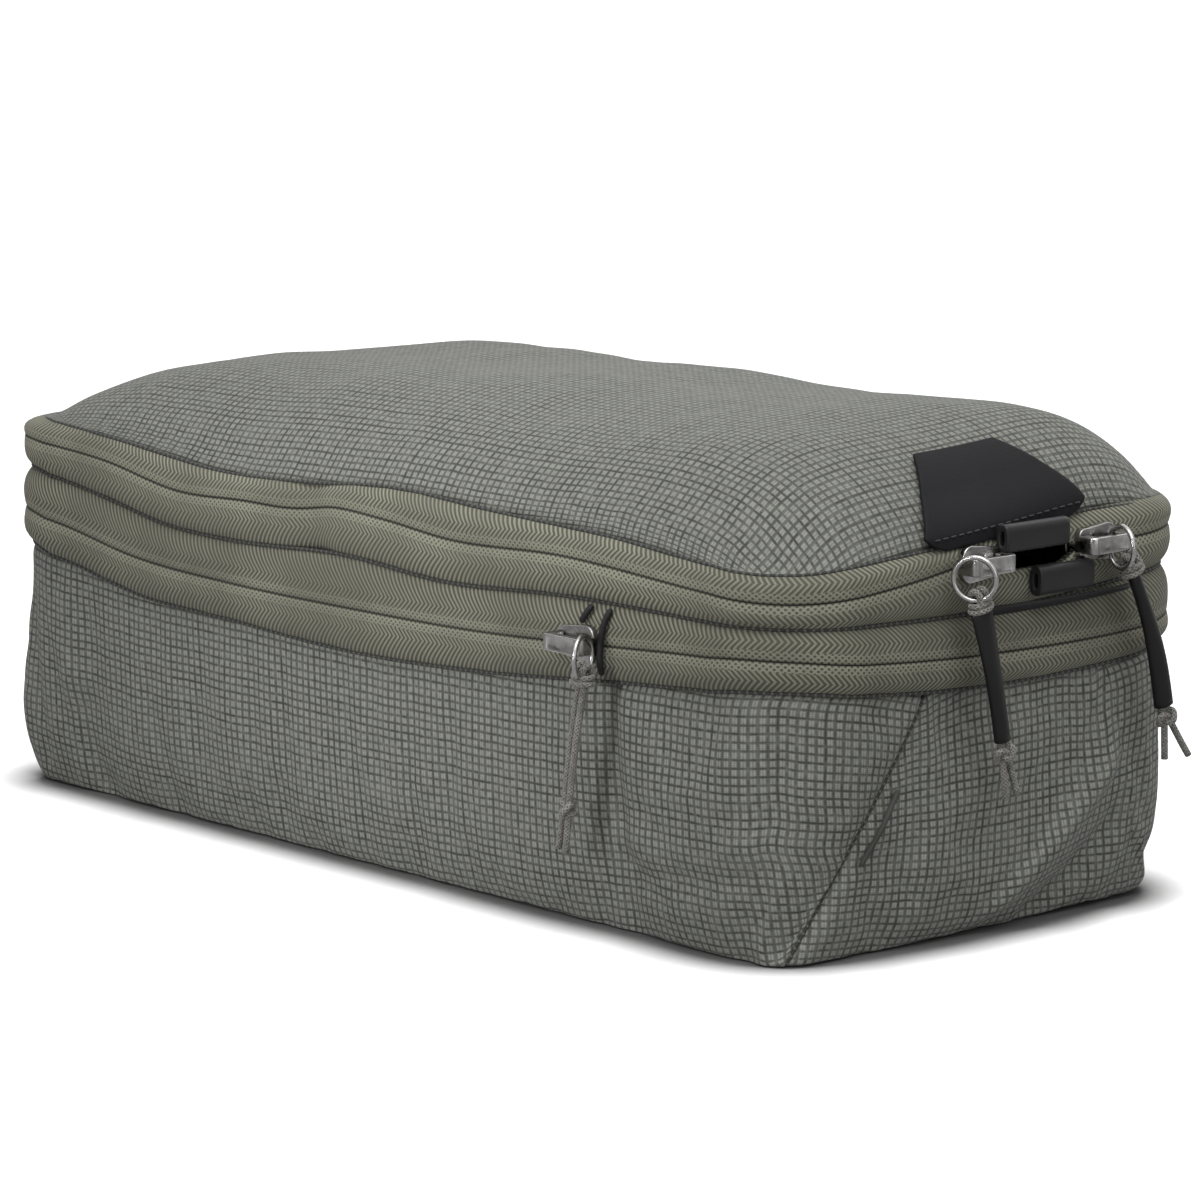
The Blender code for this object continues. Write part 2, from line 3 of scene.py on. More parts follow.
import bmesh
import bpy
import numpy as np
from mathutils import Matrix, Vector, noise
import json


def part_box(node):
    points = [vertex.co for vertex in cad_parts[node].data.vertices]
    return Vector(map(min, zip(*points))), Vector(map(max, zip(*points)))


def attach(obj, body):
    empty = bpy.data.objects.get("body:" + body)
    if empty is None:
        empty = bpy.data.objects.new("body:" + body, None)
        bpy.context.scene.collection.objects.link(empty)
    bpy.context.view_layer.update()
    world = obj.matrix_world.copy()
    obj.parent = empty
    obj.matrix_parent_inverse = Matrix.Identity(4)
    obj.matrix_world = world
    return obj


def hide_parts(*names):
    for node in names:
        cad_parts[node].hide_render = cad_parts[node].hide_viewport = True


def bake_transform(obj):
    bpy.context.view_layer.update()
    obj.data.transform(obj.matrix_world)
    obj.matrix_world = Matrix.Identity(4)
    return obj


# The looks of the packing cube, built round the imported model. Units are metres, +Z is up,
# +X points to the short end with the zip pulls and -Y is the front long side.
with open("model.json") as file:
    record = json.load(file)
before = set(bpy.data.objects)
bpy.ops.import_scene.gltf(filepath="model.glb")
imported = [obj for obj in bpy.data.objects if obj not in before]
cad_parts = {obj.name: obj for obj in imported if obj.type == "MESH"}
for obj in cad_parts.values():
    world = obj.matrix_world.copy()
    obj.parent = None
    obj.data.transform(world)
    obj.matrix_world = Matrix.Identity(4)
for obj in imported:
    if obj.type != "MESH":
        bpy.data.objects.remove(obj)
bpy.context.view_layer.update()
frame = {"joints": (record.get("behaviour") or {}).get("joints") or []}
joint_places = {joint["name"]: joint.get("pos_m") for joint in frame["joints"]}

# ---------------------------------------------------------------- sizes from the frame
band_low, band_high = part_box("compression_tape_lower")
base_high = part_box("base_panel")[1]
BAND_LENGTH = band_high.x - band_low.x
BAND_WIDTH = band_high.y - band_low.y
BAND_RADIUS = 0.028
BASE_SPREAD = 0.0036        # how far the walls' feet stand outside the CAD base panel
BASE_LENGTH = 2 * (base_high.x + BASE_SPREAD)
BASE_WIDTH = 2 * (base_high.y + BASE_SPREAD)
BASE_RADIUS = 0.008
COIL_GAP = 0.0006           # half of the gap between two CAD tapes
LID_SEAM_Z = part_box("main_tape_upper")[1].z
FLAT_HEIGHTS = {"lower": band_low.z, "compression": band_high.z + COIL_GAP,
                "middle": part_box("main_tape_lower")[0].z, "main": joint_places["lid_hinge"][2],
                "lid": LID_SEAM_Z}

# ---------------------------------------------------------------- the fabric's own sizes
TAPE_THICKNESS = 0.0006
FABRIC_THICKNESS = 0.0006
BASE_THICKNESS = 0.0004
FLOOR_GAP = 0.0003          # the lowest that a wall may reach
SEAM_TUCK = 0.0026          # how far a seam lies inside the band's outline
LID_ROLL = 0.0034           # how much further the lid's seam rolls in at the far end
BAND_BULGE = 0.0003
WALL_BULGE = 0.0030
END_SWELL = 0.0036
FAR_CORNER_SWELL = 0.0047
FAR_CORNER = 4.6            # the station of that swell
BASE_CURVE = 0.0022         # the radius of the turn under a wall's foot
CORNER_CURVE = 0.0030       # how much larger it is at the near back corner
SLANT_TUCK = 0.0010
DOME_HEIGHT = 0.0245
DOME_TILT = 0.0030
ZIP_GAP = 0.0001            # half of the gap between the tapes of a closed zip
ZIP_OPENING = 0.0030        # half of the gap between the two main sliders
NEAR_GAP_END, FAR_GAP_END = 0.17, -0.55
GAP_TAPER = 0.16
PINCH_DISTANCE, PINCH_DEPTH, PINCH_WIDTH = 0.2490, 0.0016, 0.0075

# Stations where the main zip and its fabric hinge meet, and of the tops and feet of the side seams.
ZIP_END = 5.02
HINGE_START = 4.98
SLANT_TOP_FRONT, SLANT_TOP_BACK, SLANT_TOP_FAR = 0.53, 0.80, 0.68
SLANT_BOTTOM, SLANT_BOTTOM_NEAR = 0.98, 1.50

# Heights of the seams and zip lines above or below their flat places, in millimetres, as
# (station, height) round the case. The outline function says what a station is.
WAVES = {
    "lower": ((-5.4, 4), (-4.5, 5), (-4, 2.5), (-3.4, -3), (-2.8, -4), (-2.2, .5), (-1.5, 4), (-.9, 1.4),
              (0, .5), (.5, 1.4), (1, 3.4), (1.5, 5.2), (2, 4), (2.3, .8), (2.6, -3), (3, -5.6), (3.4, -4),
              (3.7, -2.4), (3.95, 3), (4.5, 6), (5.2, 5)),
    "compression": ((-5.4, 3.5), (-4.5, 4.5), (-4, 2.5), (-3.4, -2.5), (-2.8, -3.2), (-2.2, .5), (-1.5, 1),
                    (-.9, -1), (0, -1.1), (.5, -.3), (1, 1.4), (1.5, 3.3), (2, 2.8), (2.32, 0), (2.6, -2.3),
                    (3, -3.4), (3.4, -3.2), (3.7, -1.3), (3.95, 3.8), (4.5, 6), (5.2, 4.5)),
    "middle": ((-5.4, 5), (-4.5, 5), (-4, 3), (-3.4, -1), (-2.8, -1), (-2.2, 1), (-1.5, 3.5), (-1, 2.8),
               (-.5, .8), (0, -.3), (.5, -.2), (1, .6), (1.5, 1), (2, 1.1), (2.4, .8), (2.74, -1.7),
               (3.04, .2), (3.4, -1.8), (3.6, -1), (3.8, 3.2), (3.95, 6), (4.5, 7.5), (5.2, 5.5)),
    "main": ((-5.4, 1.5), (-4.5, 2.5), (-4, 2), (-3.4, -1), (-2.8, -1), (-2.2, 0), (-1.5, 1.5), (-1, .8),
             (-.62, 0), (-.1, 0), (.34, -.2), (.7, -2.4), (1, -3.8), (1.5, -5), (2, -3.8), (2.4, -1.2),
             (2.71, -2.4), (2.92, -.2), (3.06, .3), (3.16, -1.7), (3.34, -2.3), (3.54, -3.1), (3.8, 1.8),
             (3.95, 3.2), (4.5, 4), (5.2, 2)),
    "lid": ((-5.4, .4), (-4.5, 1.5), (-4, 1.5), (-3.4, -1), (-2.8, -1), (-2.2, .5), (-1.5, 1.5), (-1, 2.1),
            (-.6, 1.6), (0, -.8), (.5, -2.6), (1, -3.8), (1.5, -5.4), (2, -4.5), (2.29, -1.8), (2.57, -.8),
            (2.91, .7), (3.15, -1.8), (3.45, -3), (3.6, -1.4), (3.8, .8), (3.95, 1.8), (4.5, 1.4), (5.2, .4)),
}
WAVE_STATIONS = np.linspace(-6, 6, 2401)

# Soft folds pressed into a wall: start and end along the wall and up it, width and depth.
FRONT_FOLDS = (
    ((0.0990, 0.062), (0.1010, 0.022), 0.0036, 0.0022),
    ((0.0900, 0.060), (0.0900, 0.020), 0.0050, -0.0008),
    ((-0.152, 0.060), (-0.149, 0.010), 0.0050, 0.0016),
    ((-0.134, 0.056), (-0.131, 0.008), 0.0045, -0.0008),
    ((-0.122, 0.052), (-0.118, 0.006), 0.0060, 0.0011),
    ((-0.130, 0.024), (-0.124, 0.002), 0.0070, 0.0022),
    ((-0.096, 0.034), (-0.088, 0.006), 0.0070, 0.0008),
    ((0.106, 0.017), (0.146, 0.023), 0.0038, 0.0014),
    ((0.100, 0.025), (0.148, 0.031), 0.0036, -0.0013),
    ((0.112, 0.036), (0.150, 0.038), 0.0040, 0.0010),
    ((0.108, 0.010), (0.140, 0.012), 0.0036, -0.0008),
    ((-0.060, 0.010), (0.020, 0.014), 0.0060, 0.0006),
)
END_FOLDS = (
    ((0.054, 0.050), (0.002, 0.008), 0.0036, -0.0024),
    ((0.060, 0.036), (0.018, 0.004), 0.0055, 0.0024),
    ((0.040, 0.056), (-0.016, 0.014), 0.0060, 0.0011),
    ((0.010, 0.058), (-0.034, 0.018), 0.0055, -0.0008),
    ((0.056, 0.026), (0.042, 0.006), 0.0040, -0.0010),
)
BACK_FOLDS = (
    ((0.120, 0.056), (0.112, 0.010), 0.0060, 0.0012),
    ((0.020, 0.058), (0.034, 0.012), 0.0070, 0.0009),
    ((-0.070, 0.056), (-0.076, 0.010), 0.0065, 0.0012),
    ((-0.126, 0.052), (-0.110, 0.008), 0.0060, -0.0009),
)


# ---------------------------------------------------------------- nodes
def feed(tree, socket, value):
    """Set a socket to a value, or join another node's output to it."""
    if isinstance(value, bpy.types.NodeSocket):
        tree.links.new(value, socket)
    else:
        socket.default_value = value


def add_node(tree, kind, inputs, **settings):
    made = tree.nodes.new("ShaderNode" + kind)
    for name, value in settings.items():
        setattr(made, name, value)
    for key, value in inputs.items():
        feed(tree, made.inputs[key], value)
    return made


def span(value, low, high, low_out=0.0, high_out=1.0):
    """The inputs of a node that maps a value from one range to another."""
    return {"Value": value, "From Min": low, "From Max": high, "To Min": low_out, "To Max": high_out}


class Finish:
    """A material that is being built from nodes."""

    def __init__(self, name, roughness=0.8, metallic=0.0, sheen=0.0, shine=0.5):
        self.material = bpy.data.materials.new(name)
        self.material.use_nodes = True
        self.tree = self.material.node_tree
        self.set("Roughness", roughness)
        self.set("Metallic", metallic)
        self.set("Sheen Weight", sheen)
        self.set("Specular IOR Level", shine)

    def set(self, name, value):
        feed(self.tree, self.tree.nodes["Principled BSDF"].inputs[name], value)

    def node(self, kind, inputs, **settings):
        return add_node(self.tree, kind, inputs, **settings)

    def math(self, operation, *values):
        return self.node("Math", dict(enumerate(values)), operation=operation).outputs[0]

    def add(self, first, second):
        return self.math("ADD", first, second)

    def subtract(self, first, second):
        return self.math("SUBTRACT", first, second)

    def times(self, first, second):
        return self.math("MULTIPLY", first, second)

    def scale(self, *limits):
        """Map a value smoothly from one range to another."""
        return self.node("MapRange", span(*limits), interpolation_type="SMOOTHSTEP").outputs[0]

    def mix(self, share, first, second):
        return self.node("Mix", {0: share, 6: first, 7: second}, data_type="RGBA").outputs[2]

    def uv(self):
        """The two surface coordinates, in metres."""
        parts = self.node("SeparateXYZ", {0: self.node("UVMap", {}, uv_map="UVMap").outputs[0]})
        return parts.outputs[0], parts.outputs[1]

    def cloud(self, scale, detail=3.0):
        place = self.node("TexCoord", {}).outputs["Object"]
        inputs = {"Vector": place, "Scale": scale, "Detail": detail, "Roughness": 0.55}
        return self.node("TexNoise", inputs).outputs[0]

    def stripes(self, value, pitch):
        """A wave from -1 to 1 with its crests a pitch apart."""
        return self.math("SINE", self.times(value, 2 * math.pi / pitch))

    def lines(self, value, pitch, width, soft=0.5):
        """1 on thin lines a pitch apart and 0 between them."""
        share = self.math("FRACT", self.math("DIVIDE", value, pitch))
        away = self.math("ABSOLUTE", self.subtract(share, 0.5))
        half = width / pitch / 2
        return self.scale(away, half * (1 - soft), half * (1 + soft), 1.0, 0.0)

    def threads(self, value, pitch, width, low=0.80):
        """Soft lines whose strength differs from thread to thread, from low to 1."""
        number = self.math("FLOOR", self.math("DIVIDE", value, pitch))
        chance = self.node("TexWhiteNoise", {"W": number}, noise_dimensions="1D").outputs["Value"]
        return self.times(self.lines(value, pitch, width, 0.95), self.scale(chance, 0.0, 1.0, low, 1.0))

    def bump(self, height, distance):
        inputs = {"Height": height, "Distance": distance, "Strength": 1.0}
        self.set("Normal", self.node("Bump", inputs).outputs[0])

    def colour(self, value):
        self.set("Base Color", value)


def paint(red, green, blue, factor=1.0):
    return red * factor, green * factor, blue * factor, 1.0


# ---------------------------------------------------------------- camera, floor and light
WHITE = (1.0, 1.0, 1.0, 1.0)


def link(thing):
    bpy.context.scene.collection.objects.link(thing)
    return thing


def make_stage():
    camera = link(bpy.data.objects.new("camera", bpy.data.cameras.new("camera")))
    camera.data.sensor_width = 36.0
    camera.data.lens = 158.1
    camera.location = (1.0721, -0.9360, 0.3127)
    aim = Vector((0.0057, 0.0065, 0.0648)) - camera.location
    camera.rotation_euler = aim.to_track_quat("-Z", "Y").to_euler()
    bpy.context.scene.camera = camera
    make_floor()
    make_studio()
    add_sun("soft_box", (0.42, -0.36, 1.5), 2.45, 50)
    add_sun("back_fill", (-0.45, 1.0, 0.30), 0.95, 70)
    add_sun("end_fill", (1.0, -0.20, 0.20), 0.80, 60)
    add_spot("front_light", (0.10, -1.05, 0.32), (0.015, -0.07, 0.085), 50.0, 18)
    add_spot("top_light", (0.35, -0.30, 1.25), (0.07, 0.0, 0.12), 6.0, 24)


def make_floor():
    """A floor that looks white and glows to the camera, is grey to reflected light, and has a painted contact
    shadow: ambient occlusion darkens its colour and its glow where the case touches it.
    """
    bpy.ops.mesh.primitive_plane_add(size=30.0)
    floor = bpy.context.active_object
    floor.name = "floor"
    finish = Finish("floor_white", roughness=0.9, shine=0.0)
    seen = finish.node("LightPath", {}).outputs["Is Camera Ray"]
    painted_shadow_occlusion = finish.node("AmbientOcclusion", {"Distance": 0.019}, samples=16).outputs["AO"]
    # Painted contact shadow: ambient occlusion turns the floor's colour and glow darker where the case stands
    # close.
    near = finish.node("MapRange", span(painted_shadow_occlusion, 0.50, 0.95, 0.10, 0.90)).outputs[0]
    finish.colour(finish.mix(seen, (0.42, 0.42, 0.42, 1.0), near))
    finish.set("Emission Strength", finish.times(finish.math("MULTIPLY_ADD", near, 0.30, -0.03), seen))
    finish.set("Emission Color", WHITE)
    floor.data.materials.append(finish.material)


def make_studio():
    """A white backdrop, a dimmer room light, and a room that metal sees as dark below and bright above."""
    world = bpy.data.worlds.new("studio")
    world.use_nodes = True
    tree = world.node_tree
    backdrop = tree.nodes["Background"]
    backdrop.inputs["Color"].default_value = WHITE
    room = add_node(tree, "Background", {"Color": WHITE, "Strength": 0.40})
    direction = add_node(tree, "TexCoord", {}).outputs["Generated"]
    height = add_node(tree, "SeparateXYZ", {0: direction}).outputs[2]
    ramp = add_node(tree, "MapRange", span(height, 0.05, 0.75, 0.06, 1.1)).outputs[0]
    mirrored = add_node(tree, "Background", {"Color": ramp, "Strength": 1.0})
    seen = add_node(tree, "LightPath", {}).outputs
    gloss = add_node(tree, "MixShader", {0: seen["Is Glossy Ray"], 1: room.outputs[0],
                                         2: mirrored.outputs[0]})
    choice = add_node(tree, "MixShader", {0: seen["Is Camera Ray"], 1: gloss.outputs[0],
                                          2: backdrop.outputs[0]})
    tree.links.new(choice.outputs[0], tree.nodes["World Output"].inputs["Surface"])
    bpy.context.scene.world = world
    bpy.context.scene.view_settings.view_transform = "Standard"


def add_light(name, kind, toward, power, **settings):
    """A light; toward points from what it lights to the light itself."""
    lamp = link(bpy.data.objects.new(name, bpy.data.lights.new(name, kind)))
    for key, value in settings.items():
        setattr(lamp.data, key, value)
    lamp.data.energy = power
    lamp.rotation_euler = Vector(toward).to_track_quat("Z", "Y").to_euler()
    return lamp


def add_sun(name, toward, strength, width):
    add_light(name, "SUN", toward, strength, angle=math.radians(width))


def add_spot(name, place, target, power, cone):
    """A soft local light that fades towards the edge of its cone."""
    lamp = add_light(name, "SPOT", Vector(place) - Vector(target), power, spot_size=math.radians(cone),
                     spot_blend=1.0, shadow_soft_size=0.15)
    lamp.location = place


# ---------------------------------------------------------------- finishes
RIPSTOP = (0.150, 0.154, 0.138)
TWILL = (0.190, 0.189, 0.146)
CELL_ALONG, CELL_UP = 0.00245, 0.00215


def ripstop(name):
    """Fine plain weave with a square grid of darker reinforcing threads."""
    finish = Finish(name, roughness=0.75, sheen=0.06, shine=0.12)
    u, v = finish.uv()
    drift = finish.times(finish.cloud(90.0, 2.0), 0.0005)
    across = finish.threads(finish.add(u, drift), CELL_ALONG, 0.00078)
    along = finish.threads(finish.subtract(v, drift), CELL_UP, 0.00066)
    strength = finish.scale(finish.cloud(330.0, 2.0), 0.38, 0.60, 0.74, 1.0)
    grid = finish.times(finish.math("MAXIMUM", across, along), strength)
    warp = finish.stripes(u, CELL_ALONG / 3)
    weft = finish.stripes(v, CELL_UP / 4)
    weave = finish.add(finish.times(warp, 0.7), finish.times(weft, 0.3))
    ground = finish.mix(finish.scale(weave, -0.9, 0.9), paint(*RIPSTOP, 0.86), paint(*RIPSTOP, 1.66))
    slub = finish.scale(finish.cloud(520.0, 3.0), 0.38, 0.64)
    uneven = finish.mix(slub, paint(*RIPSTOP, 0.95), paint(*RIPSTOP, 1.48))
    finish.colour(finish.mix(grid, finish.mix(0.45, ground, uneven), paint(*RIPSTOP, 0.22)))
    finish.bump(finish.add(finish.times(grid, -0.9), finish.times(weave, 0.2)), 0.00015)
    return finish.material


def twill(name, factor=1.0):
    """Herringbone zip tape; v is the distance from the zip's centre line."""
    # A factor below 1 gives a darker copy of the tape, painted shade.
    base = [channel * factor for channel in TWILL]
    finish = Finish(name, roughness=0.8, sheen=0.06, shine=0.15)
    u, v = finish.uv()
    away = finish.math("ABSOLUTE", v)
    chevron = finish.math("ABSOLUTE", finish.subtract(away, 0.0050))
    rib = finish.scale(finish.stripes(finish.subtract(u, chevron), 0.00165), -0.55, 0.75)
    dots = finish.scale(finish.times(finish.stripes(u, 0.0018), finish.stripes(v, 0.0015)), 0.10, 0.50)
    stitched = finish.scale(away, 0.0024, 0.0030, 1.0, 0.0)
    rib = finish.mix(stitched, rib, finish.subtract(1.0, dots))
    worn = finish.scale(finish.cloud(30.0), 0.3, 0.7)
    light = finish.mix(worn, paint(*base, 0.92), paint(*base, 1.25))
    # Painted shade: the tape turns almost black at its edge by the zip's centre line, in the gap beside the
    # coil.
    edge = finish.scale(away, 0.00012, 0.00050, 0.75, 0.0)
    finish.colour(finish.mix(edge, finish.mix(rib, paint(*base, 0.40), light), paint(*base, 0.12)))
    finish.bump(rib, 0.00020)
    return finish.material


def plain(name, colour, roughness, grain, depth, sheen=0.0, patches=0.12, shine=0.3):
    """A dull surface with a fine grain and slight patches of shade."""
    finish = Finish(name, roughness=roughness, sheen=sheen, shine=shine)
    shade = finish.scale(finish.cloud(35.0), 0.3, 0.7)
    finish.colour(finish.mix(shade, paint(*colour, 1.0 - patches), paint(*colour, 1.0 + patches)))
    finish.bump(finish.cloud(grain, 2.0), depth)
    return finish.material


def braid(name, colour):
    """Braided cord: two sets of slanting strands; u runs along the cord and v round it."""
    finish = Finish(name, roughness=0.75, sheen=0.2)
    u, v = finish.uv()
    one = finish.stripes(finish.add(u, v), 0.0010)
    two = finish.stripes(finish.subtract(u, v), 0.0010)
    strands = finish.math("MAXIMUM", one, two)
    fleck = finish.scale(finish.cloud(700.0, 1.0), 0.42, 0.62)
    light = finish.mix(fleck, paint(*colour, 0.85), paint(*colour, 1.3))
    finish.colour(finish.mix(finish.scale(strands, 0.0, 0.9), paint(*colour, 0.5), light))
    finish.bump(strands, 0.00022)
    return finish.material


def nickel(name):
    """Worn antique nickel, bright on its open faces, with a painted highlight along its edges and painted
    shade darkening its recesses.
    """
    finish = Finish(name, metallic=1.0)
    worn = finish.scale(finish.cloud(260.0, 3.0), 0.30, 0.70)
    # Painted shade: ambient occlusion darkens the metal's colour almost to black in its recesses.
    hollow = finish.node("AmbientOcclusion", {"Distance": 0.0016}, samples=8, only_local=False).outputs["AO"]
    face = finish.mix(worn, (0.26, 0.255, 0.25, 1.0), (0.44, 0.435, 0.43, 1.0))
    # Painted highlight: the colour turns near white along edges, where the Bevel node's rounded normal turns
    # from the true normal.
    rounded = finish.node("Bevel", {"Radius": 0.0005}, samples=6).outputs[0]
    normals = {0: rounded, 1: finish.node("NewGeometry", {}).outputs["True Normal"]}
    turn = finish.node("VectorMath", normals, operation="DOT_PRODUCT").outputs["Value"]
    bright = finish.mix(finish.scale(turn, 0.86, 0.992, 1.0, 0.0), face, (0.86, 0.85, 0.84, 1.0))
    finish.colour(finish.mix(finish.scale(hollow, 0.25, 0.85), (0.030, 0.029, 0.028, 1.0), bright))
    finish.set("Roughness", finish.scale(worn, 0.0, 1.0, 0.38, 0.18))
    finish.bump(finish.cloud(900.0, 2.0), 0.00004)
    return finish.material


def coil_nylon(name):
    finish = Finish(name, roughness=0.45)
    loops = finish.stripes(finish.uv()[0], 0.0015)
    crest = finish.scale(loops, -0.6, 0.6)
    finish.colour(finish.mix(crest, (0.030, 0.031, 0.026, 1.0), (0.12, 0.122, 0.098, 1.0)))
    finish.bump(loops, 0.0003)
    return finish.material


def stitched_seam(name):
    """Dark piping that shows a stitch every couple of millimetres."""
    finish = Finish(name, roughness=0.85)
    stitch = finish.lines(finish.uv()[0], 0.0021, 0.0007)
    finish.colour(finish.mix(stitch, (0.022, 0.023, 0.021, 1.0), (0.075, 0.077, 0.066, 1.0)))
    finish.bump(stitch, 0.0003)
    return finish.material


# ---------------------------------------------------------------- the case's outline
def smooth_step(value, low, high):
    share = min(1.0, max(0.0, (value - low) / (high - low)))
    return share * share * (3 - 2 * share)


def hill(value, centre, width):
    """A bell curve of height 1."""
    return math.exp(-((value - centre) / width) ** 2)


def ripple(place, size, amount):
    """A smooth uneven offset that repeats the same way each time."""
    return noise.noise(Vector(place) / size) * amount


HALF_WIDTH_FLAT = BAND_WIDTH / 2 - BAND_RADIUS
HALF_LENGTH_FLAT = BAND_LENGTH / 2 - BAND_RADIUS
CORNER_ARC = BAND_RADIUS * math.pi / 2
STATION_DISTANCES = np.cumsum([0.0, HALF_WIDTH_FLAT, CORNER_ARC, HALF_LENGTH_FLAT,
                               HALF_LENGTH_FLAT, CORNER_ARC, HALF_WIDTH_FLAT])
HALF_ROUND = STATION_DISTANCES[-1]


def outline(station, length=BAND_LENGTH, width=BAND_WIDTH, radius=BAND_RADIUS, inset=0.0):
    """A point on a rounded rectangle.

    Station 0 is the middle of the +X end, 1 to 2 the front corner there, 3 the middle of the
    front side, 4 to 5 the other front corner and 6 the middle of the -X end. A negative
    station is the same point on the back half.
    """
    place = abs(station)
    beyond_middle = place > 3.0
    if beyond_middle:
        place = 6.0 - place
    half_length = length / 2 - inset
    half_width = width / 2 - inset
    corner = radius - inset
    if place < 1.0:
        x = half_length
        y = -(half_width - corner) * place
    elif place <= 2.0:
        angle = (place - 1.0) * math.pi / 2
        x = half_length - corner + corner * math.cos(angle)
        y = -(half_width - corner) - corner * math.sin(angle)
    else:
        x = (half_length - corner) * (3.0 - place)
        y = -half_width
    return Vector((-x if beyond_middle else x, -y if station < 0 else y, 0.0))


def foot(station, inset=0.0):
    """A point on the outline of the base."""
    return outline(station, BASE_LENGTH, BASE_WIDTH, BASE_RADIUS, inset)


def on_band(station, z, inset):
    """A point on the band's outline at a height."""
    point = outline(station, inset=inset)
    return point.x, point.y, z


def outward(station):
    return (outline(station) - outline(station, inset=0.001)).normalized()


def distance_at(station):
    """How far a station is along the band from the middle of the +X end."""
    return math.copysign(np.interp(abs(station), range(7), STATION_DISTANCES), station)


def station_at(distance):
    return math.copysign(np.interp(abs(distance), STATION_DISTANCES, range(7)), distance)


def smooth_curve(points):
    """Heights at the wave stations on a smooth closed curve through the given points."""
    stations, heights = np.array(points, float).T
    stations = np.concatenate([stations - 12, stations, stations + 12])
    heights = np.tile(heights, 3)
    slopes = np.gradient(heights, stations)
    left = np.searchsorted(stations, WAVE_STATIONS, side="right") - 1
    gap = stations[left + 1] - stations[left]
    t = (WAVE_STATIONS - stations[left]) / gap
    return (heights[left] * (1 + 2 * t) * (1 - t) ** 2 + slopes[left] * gap * t * (1 - t) ** 2
            + heights[left + 1] * t * t * (3 - 2 * t) + slopes[left + 1] * gap * t * t * (t - 1))


WAVE_CURVES = {line: smooth_curve(points) for line, points in WAVES.items()}


def seam_height(line, station):
    return FLAT_HEIGHTS[line] + np.interp(station, WAVE_STATIONS, WAVE_CURVES[line]) / 1000


def seam_tuck(line, station):
    """How far a seam lies inside the band's outline; the lid's seam rolls over at the far corner."""
    if line != "lid":
        return SEAM_TUCK
    roll = smooth_step(abs(station), 3.75, 4.25) * smooth_step(-abs(station), -5.9, -5.0)
    return SEAM_TUCK + LID_ROLL * roll


# ---------------------------------------------------------------- mesh helpers
def new_piece(name, mesh, material, body, slot, *nodes, smooth=True):
    """Put a finished mesh in the scene, with its material, body and CAD nodes; its record slot is not used.
    """
    piece = link(bpy.data.objects.new(name, mesh))
    mesh.materials.append(material)
    if smooth:
        mesh.polygons.foreach_set("use_smooth", [True] * len(mesh.polygons))
    if body is not None:
        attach(piece, body)
    if nodes:
        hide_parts(*nodes)
    return piece


def reshape(mesh, change):
    """Let a function change a mesh as a bmesh."""
    shape = bmesh.new()
    shape.from_mesh(mesh)
    change(shape)
    shape.to_mesh(mesh)
    shape.free()
    return mesh


def mesh_from_arrays(name, vertices, faces, loop_uvs):
    mesh = bpy.data.meshes.new(name)
    mesh.from_pydata(vertices.tolist(), [], faces.tolist())
    layer = mesh.uv_layers.new(name="UVMap")
    layer.data.foreach_set("uv", np.asarray(loop_uvs, np.float32).ravel())
    return mesh


def grid_mesh(name, points, uvs, centre=(0.0, 0.0, 0.05)):
    """A surface through rows of points, facing away from a centre, with UVs in metres."""
    points = np.array(points, float)
    uvs = np.array(uvs, float).reshape(-1, 2)
    rows, columns = points.shape[:2]
    corner = np.arange(rows * columns).reshape(rows, columns)
    faces = np.stack([corner[:-1, :-1], corner[:-1, 1:], corner[1:, 1:], corner[1:, :-1]], -1).reshape(-1, 4)
    flat = points.reshape(-1, 3)
    normal = np.cross(flat[faces[:, 1]] - flat[faces[:, 0]], flat[faces[:, 3]] - flat[faces[:, 0]])
    if (normal * (flat[faces].mean(1) - np.array(centre))).sum() < 0:
        faces = faces[:, ::-1]
    return mesh_from_arrays(name, flat, faces, uvs[faces.ravel()])


def grid(rows, columns, place):
    """Points and UVs in rows; place gives a point and its UV for a row and a column."""
    made = [[place(row, column) for column in columns] for row in rows]
    return tuple([[each[part] for each in row] for row in made] for part in (0, 1))


def loft_mesh(name, rings, closed=False, wrap=1.0):
    """A closed skin over a row of rings of points; wrap is the width of the UV round a ring."""
    rings = np.array(rings, float)
    count, around = rings.shape[:2]
    middles = rings.mean(1)
    along = np.concatenate([[0.0], np.cumsum(np.linalg.norm(np.diff(middles, axis=0), axis=1))])
    if closed:
        rings = np.concatenate([rings, rings[:1]])
        along = np.append(along, along[-1] + np.linalg.norm(middles[-1] - middles[0]))
    ring, side = np.meshgrid(np.arange(len(rings) - 1), np.arange(around), indexing="ij")
    ring, side = ring.ravel(), side.ravel()
    after = (side + 1) % around
    upper = (ring + 1) % count
    faces = np.stack([ring * around + side, ring * around + after, upper * around + after,
                      upper * around + side], -1)
    u = np.stack([along[ring], along[ring], along[ring + 1], along[ring + 1]], -1)
    v = np.stack([side, side + 1, side + 1, side], -1) * wrap / around

    def finish_skin(shape):
        if not closed:
            bmesh.ops.holes_fill(shape, edges=shape.edges, sides=0)
        bmesh.ops.recalc_face_normals(shape, faces=shape.faces)

    mesh = mesh_from_arrays(name, rings[:count].reshape(-1, 3), faces, np.stack([u, v], -1))
    return reshape(mesh, finish_skin)


def loop_points(steps, place):
    """Points at even steps round a loop; place gives the point at an angle."""
    return [place(2 * math.pi * step / steps) for step in range(steps)]


